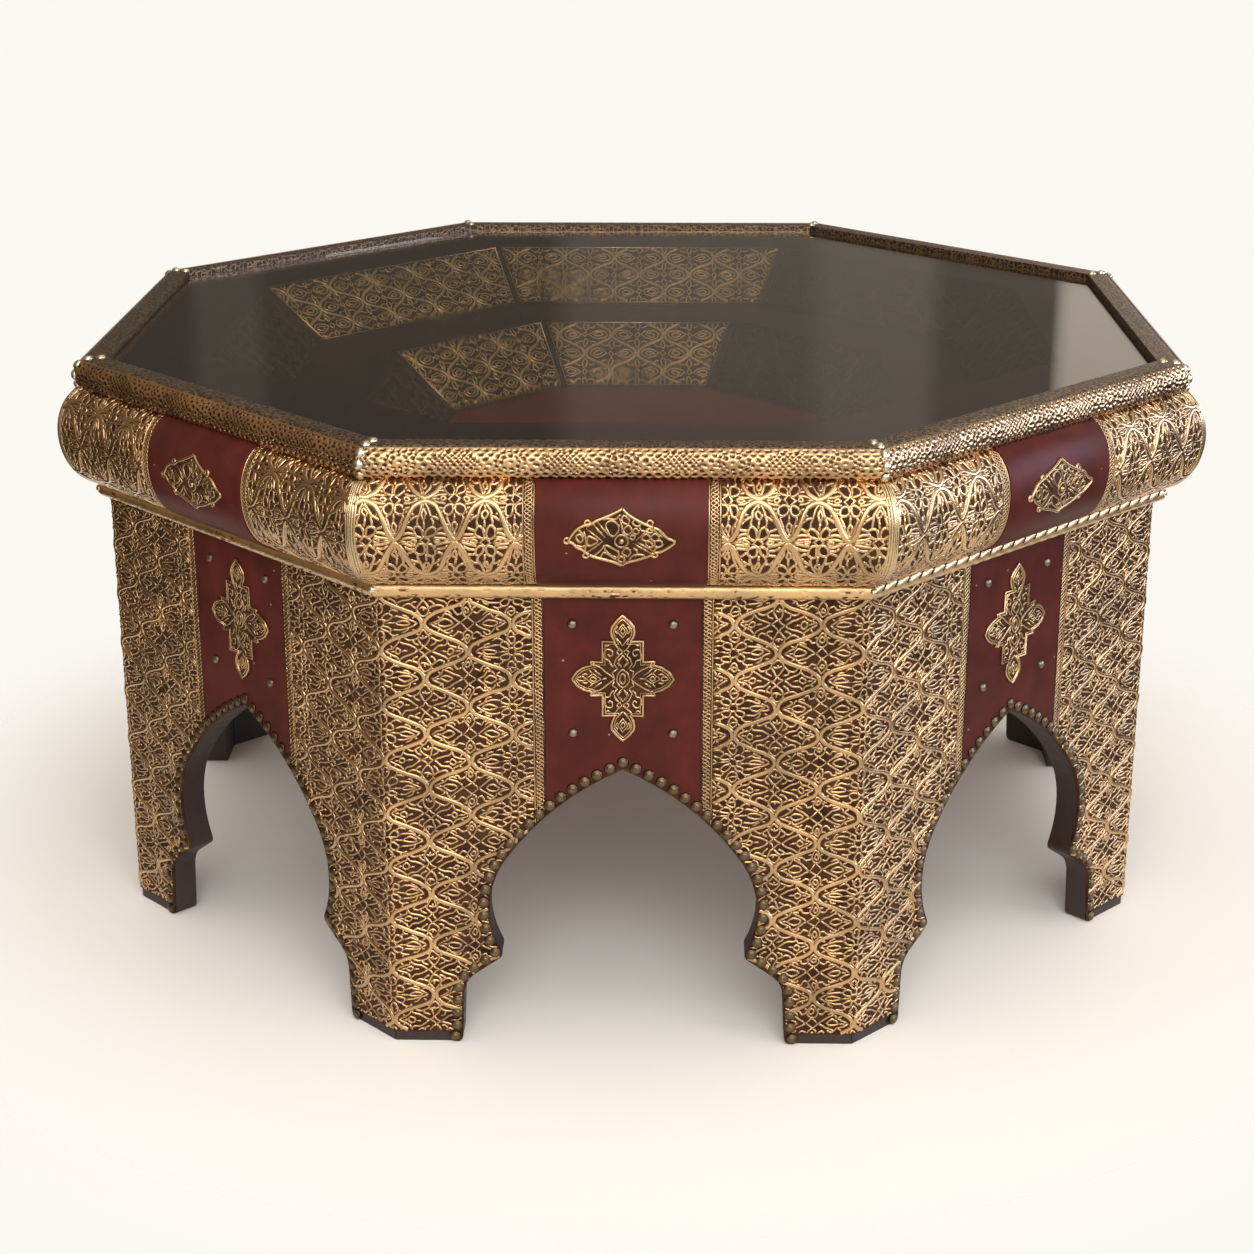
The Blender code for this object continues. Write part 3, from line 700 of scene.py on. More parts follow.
def add_nails(bm, profile, diameter, height, places):
    """Adds a nail head at each place, a matrix: its profile spun about its middle."""
    head = bmesh.new()
    points = [head.verts.new((r * diameter / 2, 0.0, h * height)) for r, h in profile]
    edges = [head.edges.new(pair) for pair in zip(points, points[1:])]
    bmesh.ops.spin(head, geom=points + edges, cent=(0, 0, 0), axis=(0, 0, 1), dvec=(0, 0, 0), angle=math.tau, steps=10,
                   use_merge=True)
    bmesh.ops.remove_doubles(head, verts=head.verts, dist=WELD)
    bmesh.ops.holes_fill(head, edges=[e for e in head.edges if e.is_boundary])
    bmesh.ops.recalc_face_normals(head, faces=head.faces)
    mark_crest(head, height)
    for place in places:
        mesh = bpy.data.meshes.new("nail")
        head.to_mesh(mesh)
        mesh.transform(place)
        bm.from_mesh(mesh)
        bpy.data.meshes.remove(mesh)
    head.free()


def flat_places(spots):
    """Matrices of places in the flat."""
    return [Matrix.Translation((x, y, 0.0)) for x, y in spots]


def flat_face(reach):
    """Surface of side 1 at a reach from the axis."""
    return lambda x, z, h: Vector((x, -(reach + h), z))


def folded(surface, half, bend=0.004):
    """A surface of side 1 carried round the corner to its right; across is measured from the fold."""
    turn = Matrix.Rotation(TURN, 3, "Z")

    def bent(u, way, h):
        reach = half(way)
        foot = surface(reach + u, way, 0.0) if u <= 0 else turn @ surface(u - reach, way, 0.0)
        out = surface(0.0, way, 1.0) - surface(0.0, way, 0.0)
        part = min(1.0, max(0.0, u / bend + 0.5))
        return foot + h * out.lerp(turn @ out, part * part * (3 - 2 * part)).normalized()
    return bent


class Moulding:
    """A moulding's curve of (reach, height) points, on which ornament is laid by across, way along it and height."""

    def __init__(self, points):
        self.points = [Vector(p) for p in points]
        steps = [b - a for a, b in zip(self.points, self.points[1:])]
        self.ways = [0.0]
        for step in steps:
            self.ways.append(self.ways[-1] + step.length)
        flat = [Vector((s.y, -s.x)).normalized() for s in steps]
        self.normals = [(a + b).normalized() for a, b in zip(flat[:1] + flat, flat + flat[-1:])]
        self.length = self.ways[-1]

    def at(self, way):
        """Point and outward direction at a way along the curve."""
        i = min(max(bisect.bisect(self.ways, way) - 1, 0), len(self.points) - 2)
        part = (way - self.ways[i]) / (self.ways[i + 1] - self.ways[i])
        normal = self.normals[i].lerp(self.normals[i + 1], min(1, max(0, part)))
        return self.points[i].lerp(self.points[i + 1], part), normal

    def way_at_height(self, z):
        """The way of the first point that reaches a height, which is over the curve's start."""
        i = next(i for i, p in enumerate(self.points) if p.y >= z)
        a, b = self.points[i - 1], self.points[i]
        return self.ways[i - 1] + (z - a.y) / (b.y - a.y) * (self.ways[i] - self.ways[i - 1])

    def surface(self, x, way, h):
        """The place at across, way along the curve and height over it."""
        point, normal = self.at(way)
        return Vector((x, -(point.x + h * normal.x), point.y + h * normal.y))

    def half(self, way):
        """Half the moulding's length at a way along its curve, up to its mitre."""
        return self.at(way)[0].x * MITRE

    def on_mitre(self, way, h=0.0):
        """Matrix of a place on the mitre to the right of side 1, with its Z axis outwards."""
        point, normal = self.at(way)
        out = Vector((math.sin(TURN / 2), -math.cos(TURN / 2), 0.0))
        facing = (out * normal.x * math.cos(TURN / 2) + Vector((0, 0, normal.y))).normalized()
        spot = out * point.x / math.cos(TURN / 2) + Vector((0, 0, point.y)) + h * facing
        return Matrix.Translation(spot) @ facing.to_track_quat("Z", "Y").to_matrix().to_4x4()


def roll_curve(offset=0.0):
    """The roll's bulge from its neck up to its shoulder: two quarter ellipses that meet at the nose."""
    steps = 28
    points = []
    for i in range(-steps, steps + 1):
        angle = math.pi / 2 * i / steps
        foot, rise = (SHOULDER, ROLL_TOP - NOSE_HEIGHT) if i > 0 else (NECK, NOSE_HEIGHT - ROLL_BOTTOM)
        points.append((foot + (ROLL_NOSE - foot + offset) * math.cos(angle),
                       NOSE_HEIGHT + (rise + offset) * math.sin(angle)))
    return points


def on_bead(angle, swell=0.0, rise=0.0):
    """Reach and height on the bead under the roll, at an angle up from level."""
    return (NECK + (BEAD_REACH + swell) * math.cos(angle),
            BEAD_BOTTOM + BEAD_HALF + (BEAD_HALF + rise) * math.sin(angle))


def bead_curve():
    """The bead under the roll, from its bottom up."""
    steps = 10
    return [on_bead(math.pi * (i / steps - 0.5)) for i in range(steps + 1)]


def rail_curve():
    """The top rail's round outside, from its under edge up and over to the sight edge."""
    steps, drop = 10, 0.0022
    quarter = [math.pi / 2 * i / steps for i in range(steps + 1)]
    under = [(RAIL_OUTER - RAIL_UNDER * (1 - math.sin(a)),
              RAIL_BOTTOM - drop + (RAIL_UNDER + drop) * (1 - math.cos(a))) for a in quarter]
    over = [(RAIL_OUTER - RAIL_ROUND * (1 - math.cos(a)), RAIL_TOP - RAIL_ROUND * (1 - math.sin(a))) for a in quarter]
    return under + over + [(RAIL_SIGHT, RAIL_TOP)]


def extruded(points):
    """A new mesh of a face through the points, extruded but not yet moved, and the points of its far end."""
    bm = bmesh.new()
    face = bm.faces.new([bm.verts.new(p) for p in points])
    grown = bmesh.ops.extrude_face_region(bm, geom=[face])["geom"]
    return bm, [v for v in grown if isinstance(v, bmesh.types.BMVert)]


def mitred_bar(section):
    """A bar of the section along side 1, mitred at both ends."""
    gap = 0.0001
    bm, far = extruded([(0.0, -reach, z) for reach, z in section])
    for v in bm.verts:
        v.co.x = (-v.co.y * MITRE - gap) * (1 if v in far else -1)
    bmesh.ops.recalc_face_normals(bm, faces=bm.faces)
    return bm


def plate(outline, low, high):
    """A flat plate of the outline between two heights."""
    bm, far = extruded([(x, y, low) for x, y in outline])
    bmesh.ops.translate(bm, vec=(0, 0, high - low), verts=far)
    bmesh.ops.recalc_face_normals(bm, faces=bm.faces)
    return bm


def in_order(bm):
    """Sorts points and faces by place, because some operators leave them in an order that changes from run to run."""
    for group, place in ((bm.verts, lambda v: v.co[:]), (bm.faces, lambda f: f.calc_center_median()[:])):
        rank = {item: i for i, item in enumerate(sorted(group, key=place))}
        group.sort(key=rank.get)


def repeat(bm, label, material, surface=None, sides=ALL_SIDES, stands_for=None, smooth=100):
    """Puts one copy of the piece on each side as its own object; folds sharper than smooth degrees stay crisp.

    A flat piece is first laid on its surface: a function of across, up and height."""
    if surface:
        for v in bm.verts:
            v.co = surface(*v.co)
    bmesh.ops.recalc_face_normals(bm, faces=bm.faces)
    in_order(bm)
    for k in sides:
        mesh = bpy.data.meshes.new(f"{label}_{k}")
        bm.to_mesh(mesh)
        mesh.transform(Matrix.Rotation(TURN * (k - 1), 4, "Z"))
        mesh.shade_smooth()
        mesh.set_sharp_from_angle(angle=math.radians(smooth))
        mesh.materials.append(material)
        piece = bpy.data.objects.new(f"{label}_{k}", mesh)
        bpy.context.scene.collection.objects.link(piece)
        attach(piece, "table")
        if stands_for:
            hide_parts(f"{stands_for}_{k}")
    bm.free()


def dress(nodes, material):
    """Gives solids that stay in view their finish."""
    for node in nodes:
        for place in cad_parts[node].material_slots:
            place.material = material


# ---- the pieces ----

def arch_edge():
    """The arch on side 1, from its left foot over the apex to its right foot."""
    outline = front_outline("side_board_1")
    far = max(abs(p.x) for p in outline) - 0.001
    outer = [abs(p.x) > far for p in outline]
    first = next(i for i in range(len(outline)) if outer[i - 1] and not outer[i])
    path = [p for p in outline[first:] + outline[:first] if abs(p.x) < far]
    return path if path[0].x < path[-1].x else path[::-1]


def beside(path, distance):
    """The path moved to its left by a distance."""
    moved_path = []
    for i, p in enumerate(path):
        sides = []
        if i:
            sides.append((p - path[i - 1]).normalized())
        if i + 1 < len(path):
            sides.append((path[i + 1] - p).normalized())
        heading = sum(sides, Vector((0, 0))).normalized()
        stretch = 1 / max(0.6, heading.dot(sides[0]))
        moved_path.append(p + distance * stretch * Vector((-heading.y, heading.x)))
    return moved_path


def spaced(path, step):
    """Points along the path, the first at its start, about a step apart."""
    total = sum((b - a).length for a, b in zip(path, path[1:]))
    count = round(total / step)
    points, gone, want = [], 0.0, 0.0
    for a, b in zip(path, path[1:]):
        reach = (b - a).length
        while len(points) <= count and want <= gone + reach + 1e-9:
            points.append(a.lerp(b, (want - gone) / reach))
            want += total / count
        gone += reach
    return points


class TABLE_OT_wood(bpy.types.Operator):
    """Stain the boards of the base"""
    bl_idname = "table.wood"
    bl_label = "Stained boards"

    def execute(self, context):
        dress(each("side_board"), stained_wood())
        return {"FINISHED"}


class TABLE_OT_legs(bpy.types.Operator):
    """Chase the brass sheaths of the legs and nail the arches"""
    bl_idname = "table.legs"
    bl_label = "Leg brass and arch nails"

    def execute(self, context):
        dress(each("leg_sheath"), patinated_brass())
        self.filigree(context.scene.table_brasswork)
        self.arch(context.scene.table_trim)
        return {"FINISHED"}

    def filigree(self, sizes):
        """The lattice and the plaited strips of a sheath, drawn unfolded with the fold in its middle."""
        left = [Vector((p.x - FOLD, p.y)) for p in front_outline("leg_sheath_1")]
        on_fold = [abs(p.x) < SLACK for p in left]
        first = next(i for i in range(len(left)) if on_fold[i] and not on_fold[i - len(left) + 1])
        chain = left[first:] + left[:first]
        sheet = chain + flipped(chain[-2:0:-1])
        half = FOLD - PANEL_HALF - sizes.plait_width
        foot = min(p.y for p in sheet)
        inside, plait_inside = within(sheet, 0.0016), within(sheet, 0.0005)
        allowed = lambda p: abs(p[0]) < half and inside(p)
        bands, lines = lattice(sizes.leg_cell_width / 2, sizes.leg_cell_height / 2, (-half, foot), (half, SKIN_TOP),
                               LEG_CELLS, (0.0, SKIN_TOP))
        bm = bmesh.new()
        raise_lines(bm, trimmed(bands, allowed), sizes.band_width, sizes.relief, BROAD)
        raise_lines(bm, trimmed(lines, allowed), sizes.line_width, sizes.relief * 0.55, FLAT)
        for start in (half, -half - sizes.plait_width):
            edges, strands = plait((start, foot), SKIN_TOP - foot, sizes.plait_width)
            raise_lines(bm, trimmed(edges, plait_inside), 0.0012, 0.0005, FLAT)
            raise_lines(bm, trimmed(strands, plait_inside), 0.0012, 0.0006)
        repeat(bm, "leg_filigree", chased_brass(), folded(flat_face(SKIN_FACE), lambda z: FOLD))

    def arch(self, trim):
        """The edging and the nails of an arch; the nails start at the apex and are the same on both sides of it."""
        edging_off, nails_off, apex_nail_off = 0.0011, 0.0053, 0.0062
        edge, face = arch_edge(), flat_face(SKIN_FACE)
        bm = bmesh.new()
        raise_lines(bm, [(beside(edge, edging_off), False)], 0.0020, 0.0011, WIRE)
        repeat(bm, "arch_edging", patinated_brass(), face)
        apex = max(range(len(edge)), key=lambda i: edge[i].y)
        row = beside(edge, nails_off)[apex:]
        row[0] = edge[apex] + Vector((0.0, apex_nail_off))
        spots = spaced(row, trim.arch_nail_step)
        bm = bmesh.new()
        add_nails(bm, NAIL_HEAD, trim.arch_nail, 0.0026, flat_places(spots + flipped(spots[1:])))
        repeat(bm, "arch_nails", aged_nail(), face)


# A quarter of the medallion's rim, in millimetres from its middle, and its tracery.
MEDAL_RIM = ((0, 53.5), (5.6, 48.2), (9.4, 43), (10.1, 39), (9.2, 34.6), (7.4, 31.4), (16.8, 32.2), (16.8, 14.8),
             (24.4, 15.2), (26.4, 13.8), (25.2, 11.8), (31, 10.2), (36.4, 6.6), (41, 0))
MEDAL_LINES = (
    ("xy", 4, (7.3, 31.3), (4.4, 26.6), (0, 22.4)),
    ("xy", 4, (25, 11.4), (18.5, 9.4), (11.5, 4.8), (6.5, 0)),
    ("o", 4, (0, 7.6), (5.2, 0), (0, -7.6), (-5.2, 0)),
    ("o", 3, (0, 4.4), (2.6, 0), (0, -4.4), (-2.6, 0)),
    ("yo", 0, (0, 19.2), (3.7, 14), (0, 8.8), (-3.7, 14)),
    ("xy", 0, (0, 22.4), (5.2, 17.2), (7.2, 12.6), (4.2, 8.4)),
    ("yo", 0, (0, 44.8), (4, 39.2), (0, 33.4), (-4, 39.2)),
    ("yo", 0, (0, 41.6), (1.8, 39), (0, 36.4), (-1.8, 39)),
    ("xy", 0, (5.6, 34.4), (2.6, 30.4), (0, 27.4)),
    ("xo", 0, (29, 0), (23, 4.6), (17, 0), (23, -4.6)),
    ("xo", 3, (25.4, 0), (23, 2), (20.6, 0), (23, -2)),
    ("xo", 3, (36, 0), (32.2, 1.9), (29, 0), (32.2, -1.9)),
    ("xy", 0, (23, 4.6), (26.2, 7.4)),
    ("x", 0, (17, 0), (12, 0)),
    ("xy", 4, (13.8, 15.8), (14.6, 20), (12.6, 24), (9, 23.6), (7.8, 20.6), (9.6, 18.6), (11.4, 20.2)),
    ("xy", 3, (13.8, 15.8), (10.4, 15), (9.4, 12), (7.4, 9.8)),
    ("xy", 3, (13.6, 28.8), (12, 27.2), (10, 28.2)),
    ("xy", 0, (0, 8.8), (4.4, 13.2), (2.2, 17)),
    ("xy", 0, (4.2, 8.4), (8.6, 5.2), (7, 2)),
    ("xy", 3, (3.9, 37), (5.8, 40), (3.6, 43)),
    ("xy", 0, (16, 3), (20, 5.6), (23, 8.2)),
    ("xy", 3, (27.4, 3.4), (30.4, 3.8), (32.2, 1.9)),
    ("xy", 3, (2.2, 24.6), (4.6, 22), (2.4, 19.4)),
)


class TABLE_OT_panels(bpy.types.Operator):
    """Cover the panels above the arches and fix their medallions and nails"""
    bl_idname = "table.panels"
    bl_label = "Panels and medallions"

    def execute(self, context):
        dress(each("leather_panel"), oxblood_leather())
        thick = 0.0008
        on_panel = lambda x, y, h: Vector((x, -(SKIN_FACE + h), MEDAL_HEIGHT + y))
        on_plate = lambda x, y, h: on_panel(x, y, h + thick)
        quarter = [Vector(p) * MM for p in MEDAL_RIM]
        rim = (quarter + flipped(quarter[-2::-1], 1, -1) + flipped(quarter[1:], -1, -1)
               + flipped(quarter[-2:0:-1]))
        repeat(plate(rim, -0.0002, thick), "medallion_plate", patinated_brass(), on_panel,
               stands_for="panel_medallion", smooth=40)
        bm = bmesh.new()
        for inset, width in ((0.0011, 0.0025), (0.0031, 0.0013)):
            ring = beside(rim + rim[:2], -inset)[1:-1]
            raise_lines(bm, by_hand([(ring, True)], 0.0003), width, 0.0010, BROAD)
        raise_lines(bm, by_hand(drawn(MEDAL_LINES), 0.0009, 0.006), 0.0015, 0.0006, FLAT, 0.60)
        repeat(bm, "medallion_tracery", chased_brass(), on_plate)
        bm = bmesh.new()
        spots = [(x, z) for x in (-0.039, 0.039) for z in (0.0445, -0.046)]
        add_nails(bm, NAIL_DOME, context.scene.table_trim.panel_nail, 0.0028, flat_places(spots))
        repeat(bm, "panel_nails", aged_nail("pale"), on_panel)
        return {"FINISHED"}


class TABLE_OT_rolls(bpy.types.Operator):
    """Clad the roll moulding in pierced brass, with its bead and its mitre straps"""
    bl_idname = "table.rolls"
    bl_label = "Roll moulding"

    def execute(self, context):
        sizes, trim = context.scene.table_brasswork, context.scene.table_trim
        curve, bead = Moulding(roll_curve()), bead_curve()
        section = bead[:-1] + roll_curve() + [(ROLL_BACK, ROLL_TOP), (ROLL_BACK, BEAD_BOTTOM)]
        repeat(mitred_bar(section), "roll_core", patinated_brass(), stands_for="roll_rail", smooth=40)

        inner = BAND_HALF + sizes.plait_width
        low, high = 0.004, curve.length - 0.0052
        allowed = lambda p: inner < p[0] < curve.half(p[1]) - 0.0022 and low < p[1] < high
        node_row = curve.way_at_height(NOSE_HEIGHT) - 0.0054
        reach = ROLL_NOSE * MITRE
        bands, lines = lattice(sizes.roll_cell_height / 2, sizes.roll_cell_width / 2, (-reach, 0.0),
                               (reach, curve.length), (ROLL_LINES,), (inner + 0.005, node_row), onion, turned=True)
        bm = bmesh.new()
        for group, width, height, section in ((bands, 0.0048, 0.0013, BROAD), (lines, 0.0026, 0.0008, FLAT)):
            raise_lines(bm, mirrored(trimmed(group, allowed), True, False), width, height, section)
        for start in (BAND_HALF, -inner):
            edges, strands = plait((start, low), high - low, sizes.plait_width)
            raise_lines(bm, edges, 0.0014, 0.0006, FLAT)
            raise_lines(bm, strands, 0.0013, 0.0005, FLAT)
        repeat(bm, "roll_filigree", chased_brass(), curve.surface)

        rib_places = [trim.strap * (i / 4 - 0.5) for i in range(5)]
        ribs = [(straight((x, 0.003), (x, high), 0.004), False) for x in rib_places]
        bm = bmesh.new()
        raise_lines(bm, by_hand(ribs, 0.0006, 0.012), trim.strap / 3.4, 0.0012, BROAD)
        repeat(bm, "roll_strap", chased_brass("burnished"),
               folded(curve.surface, curve.half, trim.strap))
        round_bead = Moulding(bead)
        bm = bmesh.new()
        add_nails(bm, NAIL_DOME, 0.0062, 0.0024, [round_bead.on_mitre(round_bead.length * 0.55, -0.0004)])
        repeat(bm, "bead_nail", bright_nickel())

        rope = lambda x, across: self.twisted(x, across, trim.rope_pitch)
        self.bead_tube("rope_bead", (2, 3, 4), 240, 12, 0.0006, rope)
        self.bead_tube("plain_bead", (1, 5, 6, 7, 8), 250, self.PLAIN_ROWS, 0.0005, self.dented)
        return {"FINISHED"}

    PLAIN_ROWS = 14

    def twisted(self, x, across, pitch):
        """Swell and crest of the rope bead: its skin swells along slanting strands between two fillets."""
        fillet = abs(across) > 0.36
        twist = 0.6 if fillet else 0.5 + 0.5 * math.cos(math.tau * (x / pitch - 0.45 * (across * math.pi)))
        return 0.0007 * twist - 0.0001, 0.5 + 0.5 * twist

    def dented(self, x, across):
        """Swell and crest of the plain bead: a smooth tube with two scored lines and small punched dents."""
        row = round(across * self.PLAIN_ROWS)
        dent = noise.noise(Vector((x / 0.0042, row * 0.62, 2.5)))
        sunk = 0.0007 if dent > 0.27 and row in (-4, -3, -2, 0, 1) else 0.0
        score = 0.0004 if abs(abs(across) - 0.38) < 0.03 else 0.0
        # Dents and scored lines get a low crest and so a near-black colour: grime and painted shade in the hollows.
        return 0.0007 - sunk - score, 0.02 if sunk else 0.3 if score else 0.95

    def bead_tube(self, label, sides, columns, rows, skin, figure):
        """A brass tube over the bead, whose swell and crest at a place the figure gives."""
        bm = bmesh.new()
        bmesh.ops.create_grid(bm, x_segments=columns, y_segments=rows, size=0.5)
        crest = bm.verts.layers.float.new("crest")
        for v in bm.verts:
            x = v.co.x * 2 * (NECK + BEAD_REACH) * MITRE
            swell, v[crest] = figure(x, v.co.y)
            out, z = on_bead(v.co.y * math.pi, swell, swell * 0.6)
            v.co = (max(-out * MITRE, min(out * MITRE, x)), -out, z)
        bmesh.ops.solidify(bm, geom=bm.faces[:], thickness=skin)
        repeat(bm, label, chased_brass("polished"), sides=sides, smooth=60)


# The lozenge on the leather band: its rim, its tracery and the middles of the loops at its corners.
LOZENGE_RIM = (
    ("", 3, (0.8, 24.4), (5, 20.2), (11.4, 16.2), (18.4, 12.8), (23.4, 10.6)),
    ("", 3, (23.4, 10.6), (28.2, 8.9), (32.4, 4.6), (35.2, 2.2), (40, -0.2), (34.8, -4.8), (29.2, -8.2), (24, -9.2)),
    ("", 3, (24, -9.2), (20.6, -11.8), (15.4, -13.8), (9.8, -15.8), (4.2, -17.4), (0.2, -20.4)),
    ("", 3, (0.2, -20.4), (-4.2, -18), (-11.8, -15.4), (-19, -13.3), (-24.2, -11.2)),
    ("", 3, (-24.2, -11.2), (-28.8, -7.2), (-33, -5), (-36, -1.8), (-39.2, 0.2), (-37, 4.6), (-33.4, 8.8),
     (-28.2, 11.8), (-22, 13.2)),
    ("", 3, (-22, 13.2), (-19.6, 15), (-12.6, 17.9), (-4.8, 21.3), (0.8, 24.4)),
)
LOZENGE_LINES = (
    ("o", 2, (5, 0), (3.5, 3.5), (0, 5), (-3.5, 3.5), (-5, 0), (-3.5, -3.5), (0, -5), (3.5, -3.5)),
    ("o", 3, (-6.4, 3.6), (-11, 9), (-11.4, 13.4), (-7.4, 15.6), (-3, 13.4), (-2, 8.8)),
    ("", 3, (-1.4, 17.6), (0.2, 11.6), (1.6, 6), (5.6, 1.8)),
    ("o", 3, (1.4, 8.6), (4.4, 5), (7.8, 8), (5.4, 12.2)),
    ("o", 3, (0.2, 15.4), (4.2, 13), (6, 16), (1.8, 19.6)),
    ("o", 3, (8, 14.4), (11.2, 11.6), (14.4, 12.4), (11, 16)),
    ("o", 3, (8.4, 7.6), (10.6, 5.4), (13.2, 7.6), (10.6, 10)),
    ("o", 3, (6.2, 2.8), (8.6, 1.4), (10.2, 3.6), (7.8, 4.8)),
    ("", 0, (-21.4, 13), (-11.8, 2.8)),
    ("", 0, (-26.4, 9.6), (-13.8, 0), (-26.2, -9.8)),
    ("", 3, (-28, 7.6), (-26.2, 0), (-27.4, -8)),
    ("o", 3, (-25, 3.6), (-21, 2.4), (-17.4, 0.2), (-21.4, -2.8), (-25.2, -3.4)),
    ("o", 3, (-34, 3.4), (-30.6, 5.2), (-28.6, 2), (-31, -1.2)),
    ("o", 3, (-12.4, -3.2), (-6, -6), (-1.8, -9.4), (-4, -13.4), (-10.8, -9)),
    ("o", 3, (3.8, -5.4), (7, -8.4), (4, -12.6), (0.4, -9)),
    ("o", 3, (0, -12.4), (2.6, -15), (0, -17.8), (-2.6, -15)),
    ("", 3, (-12.8, -3.4), (-16.2, -8), (-20.8, -12)),
    ("", 0, (8, -1.2), (22.6, -10)),
    ("", 0, (10.6, 0), (23.4, -7.4)),
    ("", 3, (8.6, -5), (12, -8.4), (10.2, -12.4)),
    ("", 0, (10.6, 0.8), (21.6, 10.4)),
    ("o", 3, (15, 2.6), (18.4, 5.8), (21.6, 3), (18.2, 0.2)),
    ("o", 3, (21.6, 3), (25, 6), (28.2, 3.2), (25, 0)),
    ("o", 3, (18.2, 0.2), (22, -0.8), (23.6, -4.2), (19.6, -4.4)),
    ("o", 3, (25, 0), (29.6, 0.6), (30.2, -3.6), (25.6, -4.4)),
    ("", 3, (23.4, 10.6), (25.4, 7.4), (31, 3.4)),
    ("", 3, (24, -9.2), (25, -6), (31.4, -2.6)),
    ("", 0, (-17.8, 14.2), (-9, 4.6)),
    ("o", 3, (17.8, 8.6), (20.6, 6.6), (23.4, 7.6), (20.8, 9.8)),
    ("", 3, (-33.6, -3.4), (-30, -4.6), (-27, -3.6)),
    ("", 3, (-32, 8.6), (-29.6, 6.6), (-27.4, 3.4)),
    ("", 3, (-15.4, -13.2), (-13.4, -9), (-8.6, -11.6), (-3.6, -15.6)),
    ("", 3, (5.6, -15.2), (8.4, -11.8), (12.4, -10.8), (17.4, -11.6)),
    ("", 3, (-13.6, 16.4), (-9.8, 17.2), (-4.4, 16.6), (-0.6, 20.4)),
    ("", 3, (13.4, 10.6), (15, 8.4), (18.4, 7.6)),
)
LOZENGE_LOOPS = ((21.2, 13.8), (-25.2, 13.6), (24.8, -10.8), (-26.6, -11.6), (-40.6, 0.2))


class TABLE_OT_bands(bpy.types.Operator):
    """Wrap the leather bands over the roll and fix their lozenges"""
    bl_idname = "table.bands"
    bl_label = "Leather bands and lozenges"

    def execute(self, context):
        skin, sunk, ends, lozenge_height = 0.0016, -0.0006, 4, 0.444
        outer, back = Moulding(roll_curve(skin)), Moulding(roll_curve(sunk))
        section = outer.points[ends:-ends] + back.points[ends:-ends][::-1]
        bm, far = extruded([(-BAND_HALF, -p.x, p.y) for p in section])
        bmesh.ops.translate(bm, vec=(2 * BAND_HALF, 0, 0), verts=far)
        at_end = lambda v: abs(abs(v.co.x) - BAND_HALF) < WELD
        rims = [e for e in bm.edges if at_end(e.verts[0]) and abs(e.verts[0].co.x - e.verts[1].co.x) < WELD]
        bmesh.ops.bevel(bm, geom=rims, offset=0.0007, affect="EDGES", segments=2, profile=0.5, material=-1)
        repeat(bm, "leather_band", oxblood_leather(), stands_for="roll_band", smooth=50)

        middle = outer.way_at_height(lozenge_height)
        on_band = lambda x, y, h: outer.surface(x, middle + y, h)
        rim = drawn(LOZENGE_RIM)
        # The dark plate under the lozenge is painted shadow: it stands for the shade that the pierced brass casts on
        # the leather.
        bm = plate([p for line, _ in rim for p in line[:-1]], -0.0002, 0.0004)
        # Cut into strips, so that it bends over the roll.
        for i in range(-7, 9):
            bmesh.ops.bisect_plane(bm, geom=bm.verts[:] + bm.edges[:] + bm.faces[:], plane_co=(0, i * 0.003, 0),
                                   plane_no=(0, 1, 0))
        repeat(bm, "lozenge_shadow_plate", patinated_brass(), on_band, smooth=40)
        loops = [(circle((x * MM, y * MM), 0.0022, 10), True) for x, y in LOZENGE_LOOPS]
        bm = bmesh.new()
        raise_lines(bm, rim, 0.0029, 0.0020, BROAD)
        raise_lines(bm, drawn(LOZENGE_LINES), 0.0021, 0.0012, FLAT, 0.42)
        raise_lines(bm, loops, 0.0019, 0.0014, FLAT)
        add_nails(bm, NAIL_DOME, 0.0052, 0.0024, [Matrix.Identity(4)])
        repeat(bm, "lozenge", chased_brass(), on_band)
        return {"FINISHED"}


